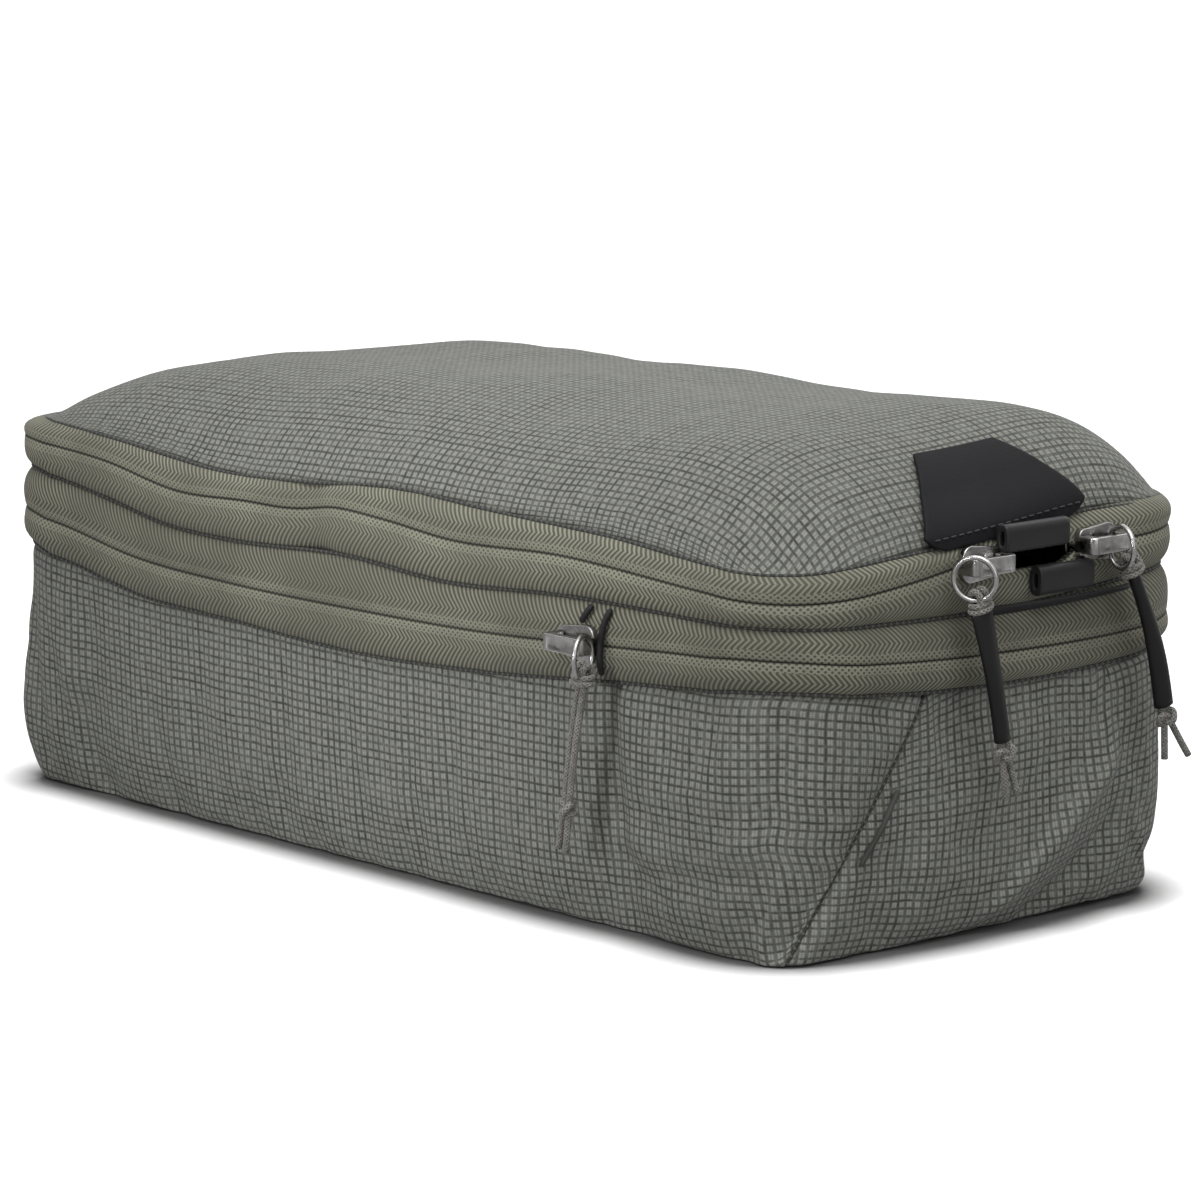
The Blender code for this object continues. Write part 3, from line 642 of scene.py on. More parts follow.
def tube_mesh(name, path, radius, sides=10, closed=False):
    """A tube round a path, whose rings turn as little as possible from one to the next."""
    path = [Vector(point) for point in path]
    rings = []
    normal = None
    for index, point in enumerate(path):
        before = path[index - 1] if (index or closed) else point
        after = path[(index + 1) % len(path)] if (index < len(path) - 1 or closed) else point
        along = (after - before).normalized()
        if normal is None:
            normal = along.orthogonal().normalized()
        normal = (normal - along * normal.dot(along)).normalized()
        side = along.cross(normal)

        def on_ring(angle):
            return point + (normal * math.cos(angle) + side * math.sin(angle)) * radius

        rings.append(loop_points(sides, on_ring))
    return loft_mesh(name, rings, closed, wrap=2 * math.pi * radius)


def join_meshes(name, meshes):
    """One mesh made of several, with their UVs."""
    def gather(shape):
        for mesh in meshes:
            shape.from_mesh(mesh)
            bpy.data.meshes.remove(mesh)

    return reshape(bpy.data.meshes.new(name), gather)


def modify(piece, kind, **settings):
    layer = piece.modifiers.new(kind.lower(), kind)
    for name, value in settings.items():
        setattr(layer, name, value)
    return layer


def thicken(piece, thickness, lining=None):
    """Give a sheet its thickness, and its inner side a lining."""
    modify(piece, "SOLIDIFY", thickness=thickness, offset=-1.0)
    if lining is not None:
        piece.data.materials.append(lining)
        piece.modifiers[-1].material_offset = 1
        piece.modifiers[-1].material_offset_rim = 1


def refine(piece):
    modify(piece, "SUBSURF", levels=1, render_levels=1)


def soften_edges(piece, width, segments=3, sharp=35):
    modify(piece, "BEVEL", width=width, segments=segments, limit_method="ANGLE",
           angle_limit=math.radians(sharp))


def settle(piece, pinned, pressure, cap):
    """Let fabric settle by Cloth simulation, with no point moving further than a cap."""
    group = piece.vertex_groups.new(name="pinned")
    group.add([int(index) for index in pinned], 1.0, "REPLACE")
    start = np.array([vertex.co for vertex in piece.data.vertices])
    layer = piece.modifiers.new("cloth", "CLOTH")
    facts = {"quality": 6, "mass": 0.12, "tension_stiffness": 12, "compression_stiffness": 12,
             "shear_stiffness": 6, "bending_stiffness": 0.08, "vertex_group_mass": "pinned",
             "use_pressure": True, "uniform_pressure_force": pressure, "shrink_min": -0.010}
    for name, value in facts.items():
        setattr(layer.settings, name, value)
    layer.settings.effector_weights.gravity = 0.15
    scene = bpy.context.scene
    for step in range(1, 21):
        scene.frame_set(step)
    settled = piece.evaluated_get(bpy.context.evaluated_depsgraph_get())
    moved = np.array([vertex.co for vertex in settled.to_mesh().vertices]) - start
    settled.to_mesh_clear()
    piece.modifiers.remove(layer)
    scene.frame_set(1)
    size = np.linalg.norm(moved, axis=1, keepdims=True)
    final = start + moved * np.minimum(1.0, cap / np.maximum(size, 1e-9))
    final[:, 2] = np.maximum(final[:, 2], FLOOR_GAP)
    piece.data.vertices.foreach_set("co", final.ravel())
    piece.data.update()
    print(piece.name, "settled by up to", round(float(size.max()) * 1000, 2), "mm")


# ---------------------------------------------------------------- pull cords
CORD_RADIUS = 0.0009
STRAND_OFFSET = 0.00092
HITCH_DEPTH = 0.0036
KNOT_SIZE = 0.00088
KNOT_DROP = 0.0018
TAIL_LENGTH = 0.0105
BAR_DISTANCE = 0.0064

# Per pull: the way out from the case, the way along the zip to the bridge's foot, the cord's lean to
# the viewer's right in degrees, its length from hitch to knot, how far its tails spread, its sideways
# bend and what its tails are longer by, its sleeve (half width, taper, and twist at the top and from
# there to the bottom), the ring's turn about the vertical, and how far the slider, the ring and the
# cord hang from the middle of their joints.
PULLS = {
    "near": {"out": (1, 0, 0), "foot": (0, 1, 0), "lean": 13.5, "drop": 0.0365, "spread": 0.0007,
             "bend": 0.0, "tails": (0.0, 0.0), "sleeve": (0.0035, 0.0011, 0.0, 0.0), "ring_turn": 30.0,
             "slider": (0, 0.0050, 0.0004), "ring": (0, -0.0015, 0.0005), "cord": (0, 0.0, 0.0016)},
    "far": {"out": (1, 0, 0), "foot": (0, -1, 0), "lean": 19.0, "drop": 0.0395, "spread": 0.0026,
            "bend": 0.0012, "tails": (-0.0012, 0.0014), "sleeve": (0.0025, -0.0001, 0.70, -1.35),
            "ring_turn": -12.0, "slider": (0, 0.0006, 0.0013), "ring": (0, 0.0006, 0.0028),
            "cord": (0, 0.0038, 0.0048)},
    "compression": {"out": (0, -1, 0), "foot": (-1, 0, 0), "lean": -10.0, "drop": 0.0310, "spread": 0.0007,
                    "bend": 0.0, "tails": (0.0, 0.0), "sleeve": None, "ring_turn": 24.0,
                    "slider": (-0.0022, 0, 0.0006), "ring": (0.0052, 0, 0.0012), "cord": (0.0055, 0, 0.0034)},
}


def hang_frame(name):
    """A matrix at the bottom of a pull's ring; X points outward and Z up along the cord."""
    out = Vector(PULLS[name]["out"])
    up = Vector((0, 0, 1))
    lean = Matrix.Rotation(math.radians(PULLS[name]["lean"]), 3, "X")
    turn = Matrix((out, up.cross(out), up)).transposed() @ lean
    place = Vector(joint_places[name + "_cord_swing"]) + Vector(PULLS[name]["cord"])
    return Matrix.Translation(place) @ turn.to_4x4()


def make_pull_cord(name, cord_finish, sleeve_finish):
    """The doubled cord of a pull, with its hitch round the ring, its sleeve, knot and tails."""
    place = hang_frame(name)
    pull = PULLS[name]
    knot_z = -HITCH_DEPTH - pull["drop"] - KNOT_DROP

    def cord_piece(part, mesh, *parts):
        nodes = [f"{name}_pull_{each}" for each in parts]
        return new_piece(f"{name}_{part}", mesh, cord_finish, name + "_cord_body", "cord", *nodes)

    hitch_parts = []
    for side in (-1, 1):
        over = [(0.00150 * math.cos(angle), side * 0.00115, 0.00150 * math.sin(angle))
                for angle in np.linspace(0, math.pi, 17)]
        ends = [(0.0013, side * 0.0016, -HITCH_DEPTH), (0.0016, side * 0.00125, -0.0018)]
        back = [(-x, y, z) for x, y, z in reversed(ends)]
        hitch_parts.append(tube_mesh("strand", ends + over + back, CORD_RADIUS))
    for height, stretch in ((-0.0016, 0.90), (-0.0031, 1.0)):
        wrap = loop_points(28, lambda a: (0.0024 * stretch * math.cos(a), 0.0029 * stretch * math.sin(a),
                                          height + 0.0003 * math.sin(a)))
        hitch_parts.append(tube_mesh("wrap", wrap, CORD_RADIUS * 0.85, closed=True))
    hitch = join_meshes(name + "_hitch", hitch_parts)
    hitch.transform(place)
    cord_piece("hitch", hitch, "hitch")

    loops = loop_points(40, lambda t: (KNOT_SIZE * 0.75 * (math.sin(t) + 2 * math.sin(2 * t)),
                                       KNOT_SIZE * (math.cos(t) - 2 * math.cos(2 * t)),
                                       knot_z - KNOT_SIZE * 1.5 * math.sin(3 * t)))
    knot = tube_mesh(name + "_knot", loops, CORD_RADIUS * 0.95, closed=True)
    knot.transform(place)
    cord_piece("knot", knot, "knot")

    for label, side, longer in zip("ab", (-1, 1), pull["tails"]):
        path = []
        length = pull["drop"] + 0.0036 + TAIL_LENGTH + longer
        for share in np.linspace(0, 1, 27):
            z = -HITCH_DEPTH + 0.0006 - share * length
            below = max(0.0, knot_z - z) / TAIL_LENGTH
            pinch = 1.0 - 0.35 * hill(z, knot_z, 0.0022)
            x = 0.0006 * math.sin(min(1.0, share * 1.25) * math.pi) + side * 0.0003 * below
            y = side * STRAND_OFFSET * pinch + side * pull["spread"] * below ** 1.2 + bend_at(name, z)
            path.append(place @ Vector((x, y, z)))
        mesh = tube_mesh("strand", path, CORD_RADIUS)
        strand = cord_piece("cord_" + label, mesh, "cord_" + label, "tail_" + label)

    if pull["sleeve"]:
        make_sleeve(name, place, sleeve_finish)


def bend_at(name, z):
    """How far a pull curves to the viewer's right at a height between its hitch and its knot."""
    share = min(1.0, max(0.0, (-z - HITCH_DEPTH) / PULLS[name]["drop"]))
    return PULLS[name]["bend"] * math.sin(math.pi * share)


def make_sleeve(name, place, finish):
    """A flattened rubber tube round both strands, open at both ends."""
    half_width, taper, turn, unturn = PULLS[name]["sleeve"]
    rings = []
    for share in np.linspace(0, 1, 17):
        z = -HITCH_DEPTH + 0.0004 - share * (PULLS[name]["drop"] - 0.0012)
        width = half_width - taper * smooth_step(share, 0.15, 1.0)
        depth = 0.0017 + 0.0003 * share
        bow = 0.0006 * math.sin(share * math.pi)
        twist = 0.35 * math.sin(share * math.pi * 0.8) + turn + unturn * smooth_step(share, 0.0, 0.8)

        def on_sleeve(angle):
            x, y = depth * math.cos(angle), width * math.sin(angle)
            return (bow + x * math.cos(twist) - y * math.sin(twist),
                    bend_at(name, z) + y * math.cos(twist) + x * math.sin(twist), z)

        rings.append(loop_points(20, on_sleeve))
    rings = np.array(rings)
    middles = rings.mean(1, keepdims=True)
    inner = middles + (rings - middles) * 0.86
    mesh = loft_mesh(name + "_sleeve", np.concatenate([rings, inner[::-1]]), closed=True, wrap=0.013)
    mesh.transform(place)
    new_piece(name + "_sleeve", mesh, finish, name + "_cord_body", "black_webbing", name + "_pull_sleeve")


# ---------------------------------------------------------------- zip tapes and seams
def zip_opening(line, station):
    """Half of the gap between a zip's tapes; the main zip is open between its two sliders."""
    if line != "main":
        return ZIP_GAP
    inside = (smooth_step(station, FAR_GAP_END, FAR_GAP_END + GAP_TAPER)
              * smooth_step(-station, -NEAR_GAP_END, -NEAR_GAP_END + GAP_TAPER))
    return ZIP_GAP + ZIP_OPENING * inside


def pinch_at(line, distance):
    """The main band is pressed in at one place on the front."""
    return PINCH_DEPTH * hill(distance, PINCH_DISTANCE, PINCH_WIDTH) if line == "main" else 0.0


def band_inset(share, height, tuck):
    """How far a tape lies inside the band's outline, from its zip at share 0 to its seam at 1."""
    groove = 0.00018 * math.exp(-share * abs(height) / 0.0004)
    return groove - BAND_BULGE * math.sin(math.pi * share) + tuck * share ** 4.5


def make_tape(name, zip_line, seam_line, end, material, body, node):
    """A zip tape from the edge beside its coil to its seam, round the front to a station each way."""
    last = distance_at(end)

    def on_tape(share, distance):
        station = station_at(distance)
        zip_z, seam_z = seam_height(zip_line, station), seam_height(seam_line, station)
        edge_z = zip_z + math.copysign(zip_opening(zip_line, station), seam_z - zip_z)
        z = edge_z + (seam_z - edge_z) * share
        inset = band_inset(share, seam_z - edge_z, seam_tuck(seam_line, station))
        inset += ripple((distance, z, 3.0), 0.030, 0.0009) * math.sin(math.pi * share)
        inset += ripple((distance, z, 7.0), 0.009, 0.0003) * share
        return on_band(station, z, inset + pinch_at(zip_line, distance)), (distance, z - zip_z)

    columns = np.linspace(-last, last, round(2 * last / 0.0018) + 1)
    mesh = grid_mesh(name, *grid(np.linspace(0, 1, 11), columns, on_tape))
    thicken(new_piece(name, mesh, material, body, "zip_tape", node), TAPE_THICKNESS)


HALF_TOOTH = 0.00075


def make_coil(name, line, side, end, material, body, node):
    """Half a zip's coil behind its tape, as a strip with a tooth every 1.5 mm."""
    last = distance_at(end)
    rings = []
    for index in range(round(2 * last / HALF_TOOTH) + 1):
        distance = min(-last + index * HALF_TOOTH, last)
        station = station_at(distance)
        tooth = index % 2
        near = seam_height(line, station) + side * (zip_opening(line, station) - ZIP_GAP + 0.0004 * tooth)
        far = near + side * (0.0022 - 0.0006 * tooth)
        corners = ((0.0010, near), (0.0024, near), (0.0024 - 0.0003 * tooth, far), (0.0010, far))
        rings.append([on_band(station, z, inset + pinch_at(line, distance)) for inset, z in corners])
    new_piece(name, loft_mesh(name, rings), material, body, "zip_coil", node, smooth=False)


def make_zip_half(line, seam_line, half, end, tape, coil, body):
    """One side of a zip: its tape, which reaches to a seam, and its coil."""
    side, node = {"low": (-1, "lower"), "high": (1, "upper")}[half]
    make_tape(f"{line}_tape_{half}", line, seam_line, end, tape, body, f"{line}_tape_{node}")
    make_coil(f"{line}_coil_{half}", line, side, end, coil, body, f"{line}_coil_{node}")


def make_piping(name, line, material, body, node):
    """The dark stitched line in the valley of a seam."""
    path = []
    for distance in np.linspace(-HALF_ROUND, HALF_ROUND, 520, endpoint=False):
        station = station_at(distance)
        hidden = max(smooth_step(abs(station), 4.0, 4.6), smooth_step(-station, 0.6, 1.1))
        sink = 0.0002 + 0.0008 * hidden if line == "lid" else 0.0
        path.append(on_band(station, seam_height(line, station) - sink, seam_tuck(line, station) - 0.0004))
    new_piece(name, tube_mesh(name, path, 0.0005, 6, closed=True), material, body, "seam_binding", node)


def make_crossing_strip(name, low_line, high_line, first, last, inset, nodes, material,
                        stretch):
    """Fabric across the join of two bodies, from one seam line up to another; it is attached to neither body.
    """
    distances = np.linspace(first, last, round((last - first) / 0.003))
    stations = [station_at((distance + HALF_ROUND) % (2 * HALF_ROUND) - HALF_ROUND) for distance in distances]

    def on_strip(share, column):
        low, high = seam_height(low_line, stations[column]), seam_height(high_line, stations[column])
        z = low + (high - low) * share
        return on_band(stations[column], z, inset(share, stations[column])), (distances[column], z * stretch)

    mesh = grid_mesh(name, *grid(np.linspace(0, 1, 15), range(len(distances)), on_strip))
    piece = new_piece(name, mesh, material, None, "ripstop_fabric", *nodes)
    thicken(piece, FABRIC_THICKNESS)
    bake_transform(piece)
    return piece


def make_gusset(fabric):
    piece = make_crossing_strip("gusset_fabric", "lower", "middle", -HALF_ROUND, HALF_ROUND,
                                lambda share, station: 0.0036 + 0.0016 * math.sin(share * math.pi),
                                ["expansion_gusset"], fabric, 2.7)


def make_hinge(fabric):
    """The strip of fabric between the ends of the main zip, which ends on the lid's edge."""
    first = distance_at(HINGE_START)

    def inset(share, station):
        return 0.0016 + (seam_tuck("lid", station) - 0.0016) * share ** 2 - 0.0018 * math.sin(share * math.pi)

    piece = make_crossing_strip("hinge_fabric", "middle", "lid", first, 2 * HALF_ROUND - first, inset,
                                ["hinge_panel_lower", "hinge_panel_upper"],
                                fabric, 1.0)


# ---------------------------------------------------------------- the lower case
def fold_depth(folds, along, up):
    """How far the soft folds press a wall in at a place on it."""
    total = 0.0
    place = Vector((along, up))
    for start, end, width, depth in folds:
        line = Vector(end) - Vector(start)
        share = (place - Vector(start)).dot(line) / line.length_squared
        nearest = Vector(start) + line * min(1.0, max(0.0, share))
        total += depth * hill((place - nearest).length, 0.0, width)
    return total


def base_curve(station):
    """The radius of the turn under a wall's foot; it is larger at the near back corner."""
    return BASE_CURVE + CORNER_CURVE * hill(station, -1.4, 0.7)


CURVE_SHARE = 0.07      # how much of a wall's rise its curved foot takes up


def wall_point(top_station, bottom_station, rise, folds, edge_distance, groove=1.0, axis=0):
    """A point on a lower wall, from the floor at rise 0 to the lower seam at rise 1."""
    top_z = seam_height("lower", top_station)
    curve = base_curve(bottom_station)
    angle = min(1.0, rise / CURVE_SHARE) * math.pi / 2
    tuck = curve * (1 - math.sin(angle))
    if rise < CURVE_SHARE:
        z = curve * (1 - math.cos(angle))
    else:
        z = curve + (top_z - curve) * (rise - CURVE_SHARE) / (1 - CURVE_SHARE)
    share = z / top_z
    capped = min(1.0, share)
    point = foot(bottom_station).lerp(outline(top_station, inset=SEAM_TUCK), share)
    out = outward(bottom_station).lerp(outward(top_station), share).normalized()
    press = fold_depth(folds, point[axis], z)
    press *= smooth_step(rise, 0.0, 0.12) * smooth_step(edge_distance, 0.0, 0.007)
    press += groove * SLANT_TUCK * hill(edge_distance, 0.0, 0.0016)
    press += 0.0006 * hill((1 - rise) * top_z, 0.0, 0.0012)
    place = (abs(top_station) + abs(bottom_station)) / 2
    from_end = min(place, 6.0 - place, 1.0)
    bulge = WALL_BULGE * math.sin(math.pi * capped) ** 0.7
    swell = math.sin(math.pi * min(1.0, share / 0.78) ** 0.7)
    bulge += FAR_CORNER_SWELL * hill(place, FAR_CORNER, 0.40) * swell
    bulge += END_SWELL * math.cos(from_end * math.pi / 2) * math.sin(math.pi * capped)
    uneven = ripple((point.x, point.y, z), 0.032, 0.0011) + ripple((point.x, point.y, z + 5), 0.010, 0.0004)
    point = point + out * (bulge - tuck - press + uneven * math.sin(math.pi * capped))
    point.z = max(z, FLOOR_GAP)
    return point


def base_station(top_station, slant_top, slant_foot=SLANT_BOTTOM):
    """The base point under a point of the lower seam on a long side's panel."""
    if top_station < 2.0:
        return slant_foot + (top_station - slant_top) / (2.0 - slant_top) * (2.0 - slant_foot)
    return top_station


def end_base_station(share, slant_foot):
    """The base point a share of the way from the middle of an end to the foot of its side seam."""
    straight = BASE_WIDTH / 2 - BASE_RADIUS
    marks = (0.0, straight, straight + BASE_RADIUS * math.pi / 2)
    return float(np.interp(share * np.interp(slant_foot, (0, 1, 2), marks), marks, (0, 1, 2)))


def border(rows, columns):
    """Indices of the points round the edge of a grid."""
    index = np.arange(rows * columns).reshape(rows, columns)
    return np.unique(np.concatenate([index[0], index[-1], index[:, 0], index[:, -1]]))


def steps_between(points):
    """The lengths of a grid's steps along its rows and up its columns."""
    points = np.array(points)
    return [np.linalg.norm(np.diff(points, axis=axis), axis=2) for axis in (1, 0)]


def surface_uvs(points):
    """Distances along the rows and columns of a grid, measured from its middle."""
    along, up = steps_between(points)
    u = np.pad(np.cumsum(along, axis=1), ((0, 0), (1, 0)))
    v = np.pad(np.cumsum(up, axis=0), ((1, 0), (0, 0)))
    u -= u[:, [u.shape[1] // 2]]
    v -= v[[len(points) // 2]]
    return np.stack([u, v], -1)


def make_panel(name, points, body, node, pressure, cap, fabric, lining):
    """A wall or the lid: a sheet that settles between its seams and has a lining."""
    mesh = grid_mesh(name, points, surface_uvs(points))
    piece = new_piece(name, mesh, fabric, body, "ripstop_fabric", node)
    settle(piece, border(len(points), len(points[0])), pressure, cap)
    refine(piece)
    thicken(piece, FABRIC_THICKNESS, lining)


def make_wall(part, columns, folds, axis, fabric, lining):
    """A wall panel from columns of (top station, base station, distance to its side seam, groove)."""
    rises = np.concatenate([np.linspace(0, CURVE_SHARE, 6)[:-1], np.linspace(CURVE_SHARE, 1, 32)])
    points = [[tuple(wall_point(top, bottom, rise, folds, edge, groove, axis))
               for top, bottom, edge, groove in columns] for rise in rises]
    make_panel(part + "_fabric", points, "lower_body", part + "_panel", 2.5, 0.0022, fabric, lining)


def make_lower_case(fabric, lining, seam, pleat):
    for part, side, near_top, near_foot, folds in (
            ("front", 1, SLANT_TOP_FRONT, SLANT_BOTTOM_NEAR, FRONT_FOLDS),
            ("back", -1, SLANT_TOP_BACK, SLANT_BOTTOM, BACK_FOLDS)):
        first = distance_at(near_top)
        last = HALF_ROUND - distance_at(SLANT_TOP_FAR)
        columns = []
        for distance in np.linspace(first, last, 190):
            station = station_at(distance)
            if station <= 3.0:
                below = base_station(station, near_top, near_foot)
            else:
                below = 6.0 - base_station(6.0 - station, SLANT_TOP_FAR)
            groove = 0.0 if side < 0 and station < 3.0 else 1.0
            columns.append((side * station, side * below, min(distance - first, last - distance), groove))
        make_wall(part, columns, folds, 0, fabric, lining)
    for part, turn, front_top, back_top, folds in (
            ("near_end", 0, SLANT_TOP_FRONT, SLANT_TOP_BACK, END_FOLDS),
            ("far_end", 6, SLANT_TOP_FAR, SLANT_TOP_FAR, BACK_FOLDS)):
        columns = []
        for share in np.linspace(-1, 1, 61):
            top = share * (front_top if share > 0 else back_top)
            slant_foot = SLANT_BOTTOM_NEAR if share > 0 and not turn else SLANT_BOTTOM
            bottom = math.copysign(end_base_station(abs(share), slant_foot), share)
            if turn:
                top = math.copysign(turn - abs(top), share)
                bottom = math.copysign(turn - abs(bottom), share)
            edge = (1 - abs(share)) * HALF_WIDTH_FLAT
            columns.append((top, bottom, edge, 0.0 if share < 0 and not turn else 1.0))
        make_wall(part, columns, folds, 1, fabric, lining)
    make_slant_seams(seam, pleat)
    make_base(fabric, lining)


# Stitched lines where the long sides meet the ends, and two dark strands beside the near ones that paint the
# shadow in their pleats:
# stations at the top and the foot, where on the rise each begins and ends, and its radius.
SLANT_LINES = {
    "near_front_seam": (SLANT_TOP_FRONT, SLANT_BOTTOM_NEAR, 0.03, 0.985, 0.00045),
    "far_front_seam": (6 - SLANT_TOP_FAR, 6 - SLANT_BOTTOM, 0.03, 0.985, 0.00035),
    "far_back_seam": (SLANT_TOP_FAR - 6, SLANT_BOTTOM - 6, 0.03, 0.985, 0.00035),
    "near_front_pleat": (SLANT_TOP_FRONT - 0.08, 1.12, 0.40, 0.66, 0.00070),
    "near_back_pleat": (-0.80, -1.72, 0.40, 0.72, 0.00065),
}


def make_slant_seams(seam, pleat):
    for name, (upper, lower, first, last, radius) in SLANT_LINES.items():
        is_pleat = name.endswith("pleat")
        path = []
        for rise in np.linspace(first, last, 40):
            swell = math.sin(math.pi * (rise - first) / (last - first))
            # A pleat's strand sinks into the wall: a dark line of painted shadow in the fold.
            sink = radius * (0.2 + 0.5 * (1 - swell)) if is_pleat else 0.0
            point = wall_point(upper, lower, rise, (), 0.0040 if is_pleat else 0.0008)
            path.append(point - outward(upper) * sink)
        mesh = tube_mesh(name, path, radius, 8)
        new_piece(name, mesh, pleat if is_pleat else seam, "lower_body", "seam_binding")


def make_base(fabric, lining):
    """The floor of the case, a sheet that lies flat between the curved feet of the walls."""
    def on_base(share, mark):
        point = foot(mark, base_curve(mark) - 0.0006) * (1 - share)
        return (point.x, point.y, 0.0004 + 0.0004 * math.sin(share * math.pi)), (point.x, point.y)

    marks = [station_at(distance) for distance in np.linspace(-HALF_ROUND, HALF_ROUND, 161)]
    mesh = grid_mesh("base_fabric", *grid(np.linspace(0, 1, 9), marks, on_base), centre=(0, 0, 1))
    reshape(mesh, lambda shape: bmesh.ops.remove_doubles(shape, verts=shape.verts, dist=0.00001))
    piece = new_piece("base_fabric", mesh, fabric, "lower_body", "ripstop_fabric", "base_panel")
    thicken(piece, BASE_THICKNESS, lining)


# ---------------------------------------------------------------- the lid
LID_HALF_LENGTH = BAND_LENGTH / 2 - SEAM_TUCK
LID_HALF_WIDTH = BAND_WIDTH / 2 - SEAM_TUCK
LID_CORNER = BAND_RADIUS - SEAM_TUCK


def corner_drop(place, half):
    """How far the lid's rounded corner pulls the other edge in at a place along one edge."""
    over = max(0.0, abs(place) - (half - LID_CORNER))
    return LID_CORNER - math.sqrt(max(0.0, LID_CORNER * LID_CORNER - over * over))


def rim_place(x, y):
    """The nearest rim station to a point of the lid, and the distance to the rim."""
    over_x = abs(x) - (LID_HALF_LENGTH - LID_CORNER)
    over_y = abs(y) - (LID_HALF_WIDTH - LID_CORNER)
    if over_x > 0 and over_y > 0:
        place = 1 + math.atan2(over_y, over_x) / (math.pi / 2)
        away = LID_CORNER - math.hypot(over_x, over_y)
    elif LID_HALF_LENGTH - abs(x) < LID_HALF_WIDTH - abs(y):
        place = abs(y) / (LID_HALF_WIDTH - LID_CORNER)
        away = LID_HALF_LENGTH - abs(x)
    else:
        place = 3 - abs(x) / (LID_HALF_LENGTH - LID_CORNER)
        away = LID_HALF_WIDTH - abs(y)
    if x < 0:
        place = 6 - place
    return (place if y <= 0 else -place), max(0.0, away)


def lid_height(x, y):
    """The height of the domed lid over a place; it is fuller at the back and at the near end."""
    station, away = rim_place(x, y)
    across = abs(y) / (LID_HALF_WIDTH - corner_drop(x, LID_HALF_LENGTH))
    along = abs(x) / (LID_HALF_LENGTH - corner_drop(y, LID_HALF_WIDTH))
    back = smooth_step(y, -0.01, 0.05)
    flatness, steepness = (7.0 + 1.5 * back, 0.70 - 0.05 * back) if x > 0 else (4.2, 0.82)
    dome = max(0.0, 1 - along ** flatness) ** steepness * max(0.0, 1 - across ** (3.5 + 0.9 * back)) ** 0.70
    rim = LID_SEAM_Z + (seam_height("lid", station) - LID_SEAM_Z) * math.exp(-(away / 0.016) ** 1.5)
    return rim + dome * (DOME_HEIGHT + DOME_TILT * x / LID_HALF_LENGTH)


def lid_point(u, v):
    """A point of the lid's fabric, with the puckers along its seam and its uneven stretch."""
    y = LID_HALF_WIDTH * math.copysign(abs(v) ** 0.9, v)
    reach = LID_HALF_LENGTH - corner_drop(y, LID_HALF_WIDTH)
    x = reach * math.copysign(abs(u) ** 0.92, u)
    station, away = rim_place(x, y)
    pucker = math.sin(2 * math.pi * distance_at(station) / 0.0085 + ripple((x, y, 0), 0.02, 6.0))
    z = lid_height(x, y) + 0.00035 * pucker * hill(away, 0.003, 0.0035) * min(1.0, away / 0.002)
    z += ripple((x, y, 2.0), 0.055, 0.0022) * smooth_step(away, 0.0, 0.03)
    z += ripple((x, y, 9.0), 0.016, 0.0006) * smooth_step(away, 0.0, 0.012)
    inward = outward(station) * (SEAM_TUCK - seam_tuck("lid", station)) * hill(away, 0.0, 0.012)
    return x + inward.x, y + inward.y, z


def make_lid(fabric, lining):
    points = [[lid_point(u, v) for u in np.linspace(-1, 1, 150)] for v in np.linspace(-1, 1, 68)]
    make_panel("lid_fabric", points, "lid", "lid_panel", 3.0, 0.0008, fabric, lining)


PATCH_BOTTOM, PATCH_WIDEST, PATCH_TOP = 0.0215, 0.0287, 0.0140      # half widths
PATCH_LENGTH = 0.0272
PATCH_CHAMFER = 0.10        # the share of its length where the patch is widest
PATCH_LIFT = 0.0013
PATCH_THICKNESS = 0.0011
STITCH_ROW = 0.085          # the share of its length where the stitches run


def patch_profile():
    """The patch's middle line: up over the lid's edge, then over the lid, with its lengths."""
    xs = LID_HALF_LENGTH - 0.0004 - np.linspace(0, 1, 200) ** 2 * 0.03
    zs = np.array([lid_height(x, 0.0) for x in xs])
    xs = np.concatenate([np.full(12, xs[0]), xs])
    zs = np.concatenate([zs[0] - np.linspace(0.0024, 0.0002, 12), zs])
    return xs, zs, np.concatenate([[0.0], np.cumsum(np.hypot(np.diff(xs), np.diff(zs)))])


PATCH_LINE = patch_profile()


def patch_point(across, up, lift):
    """A point of the patch: across it from -1 to 1, and up it as a share of its length."""
    xs, zs, lengths = PATCH_LINE
    half = float(np.interp(up, (0, PATCH_CHAMFER, 1), (PATCH_BOTTOM, PATCH_WIDEST, PATCH_TOP)))
    places = up * PATCH_LENGTH, up * PATCH_LENGTH + 0.001
    (x, x_above), (z, z_above) = (np.interp(places, lengths, line).tolist() for line in (xs, zs))
    y = across * half
    sag = lid_height(x, y) - lid_height(x, 0.0)
    normal = Vector((z_above - z, 0.0, x - x_above)).normalized()
    return Vector((x, y, z + sag)) + normal * (lift + 0.0016 * (1 - smooth_step(up, 0.05, 0.55)))


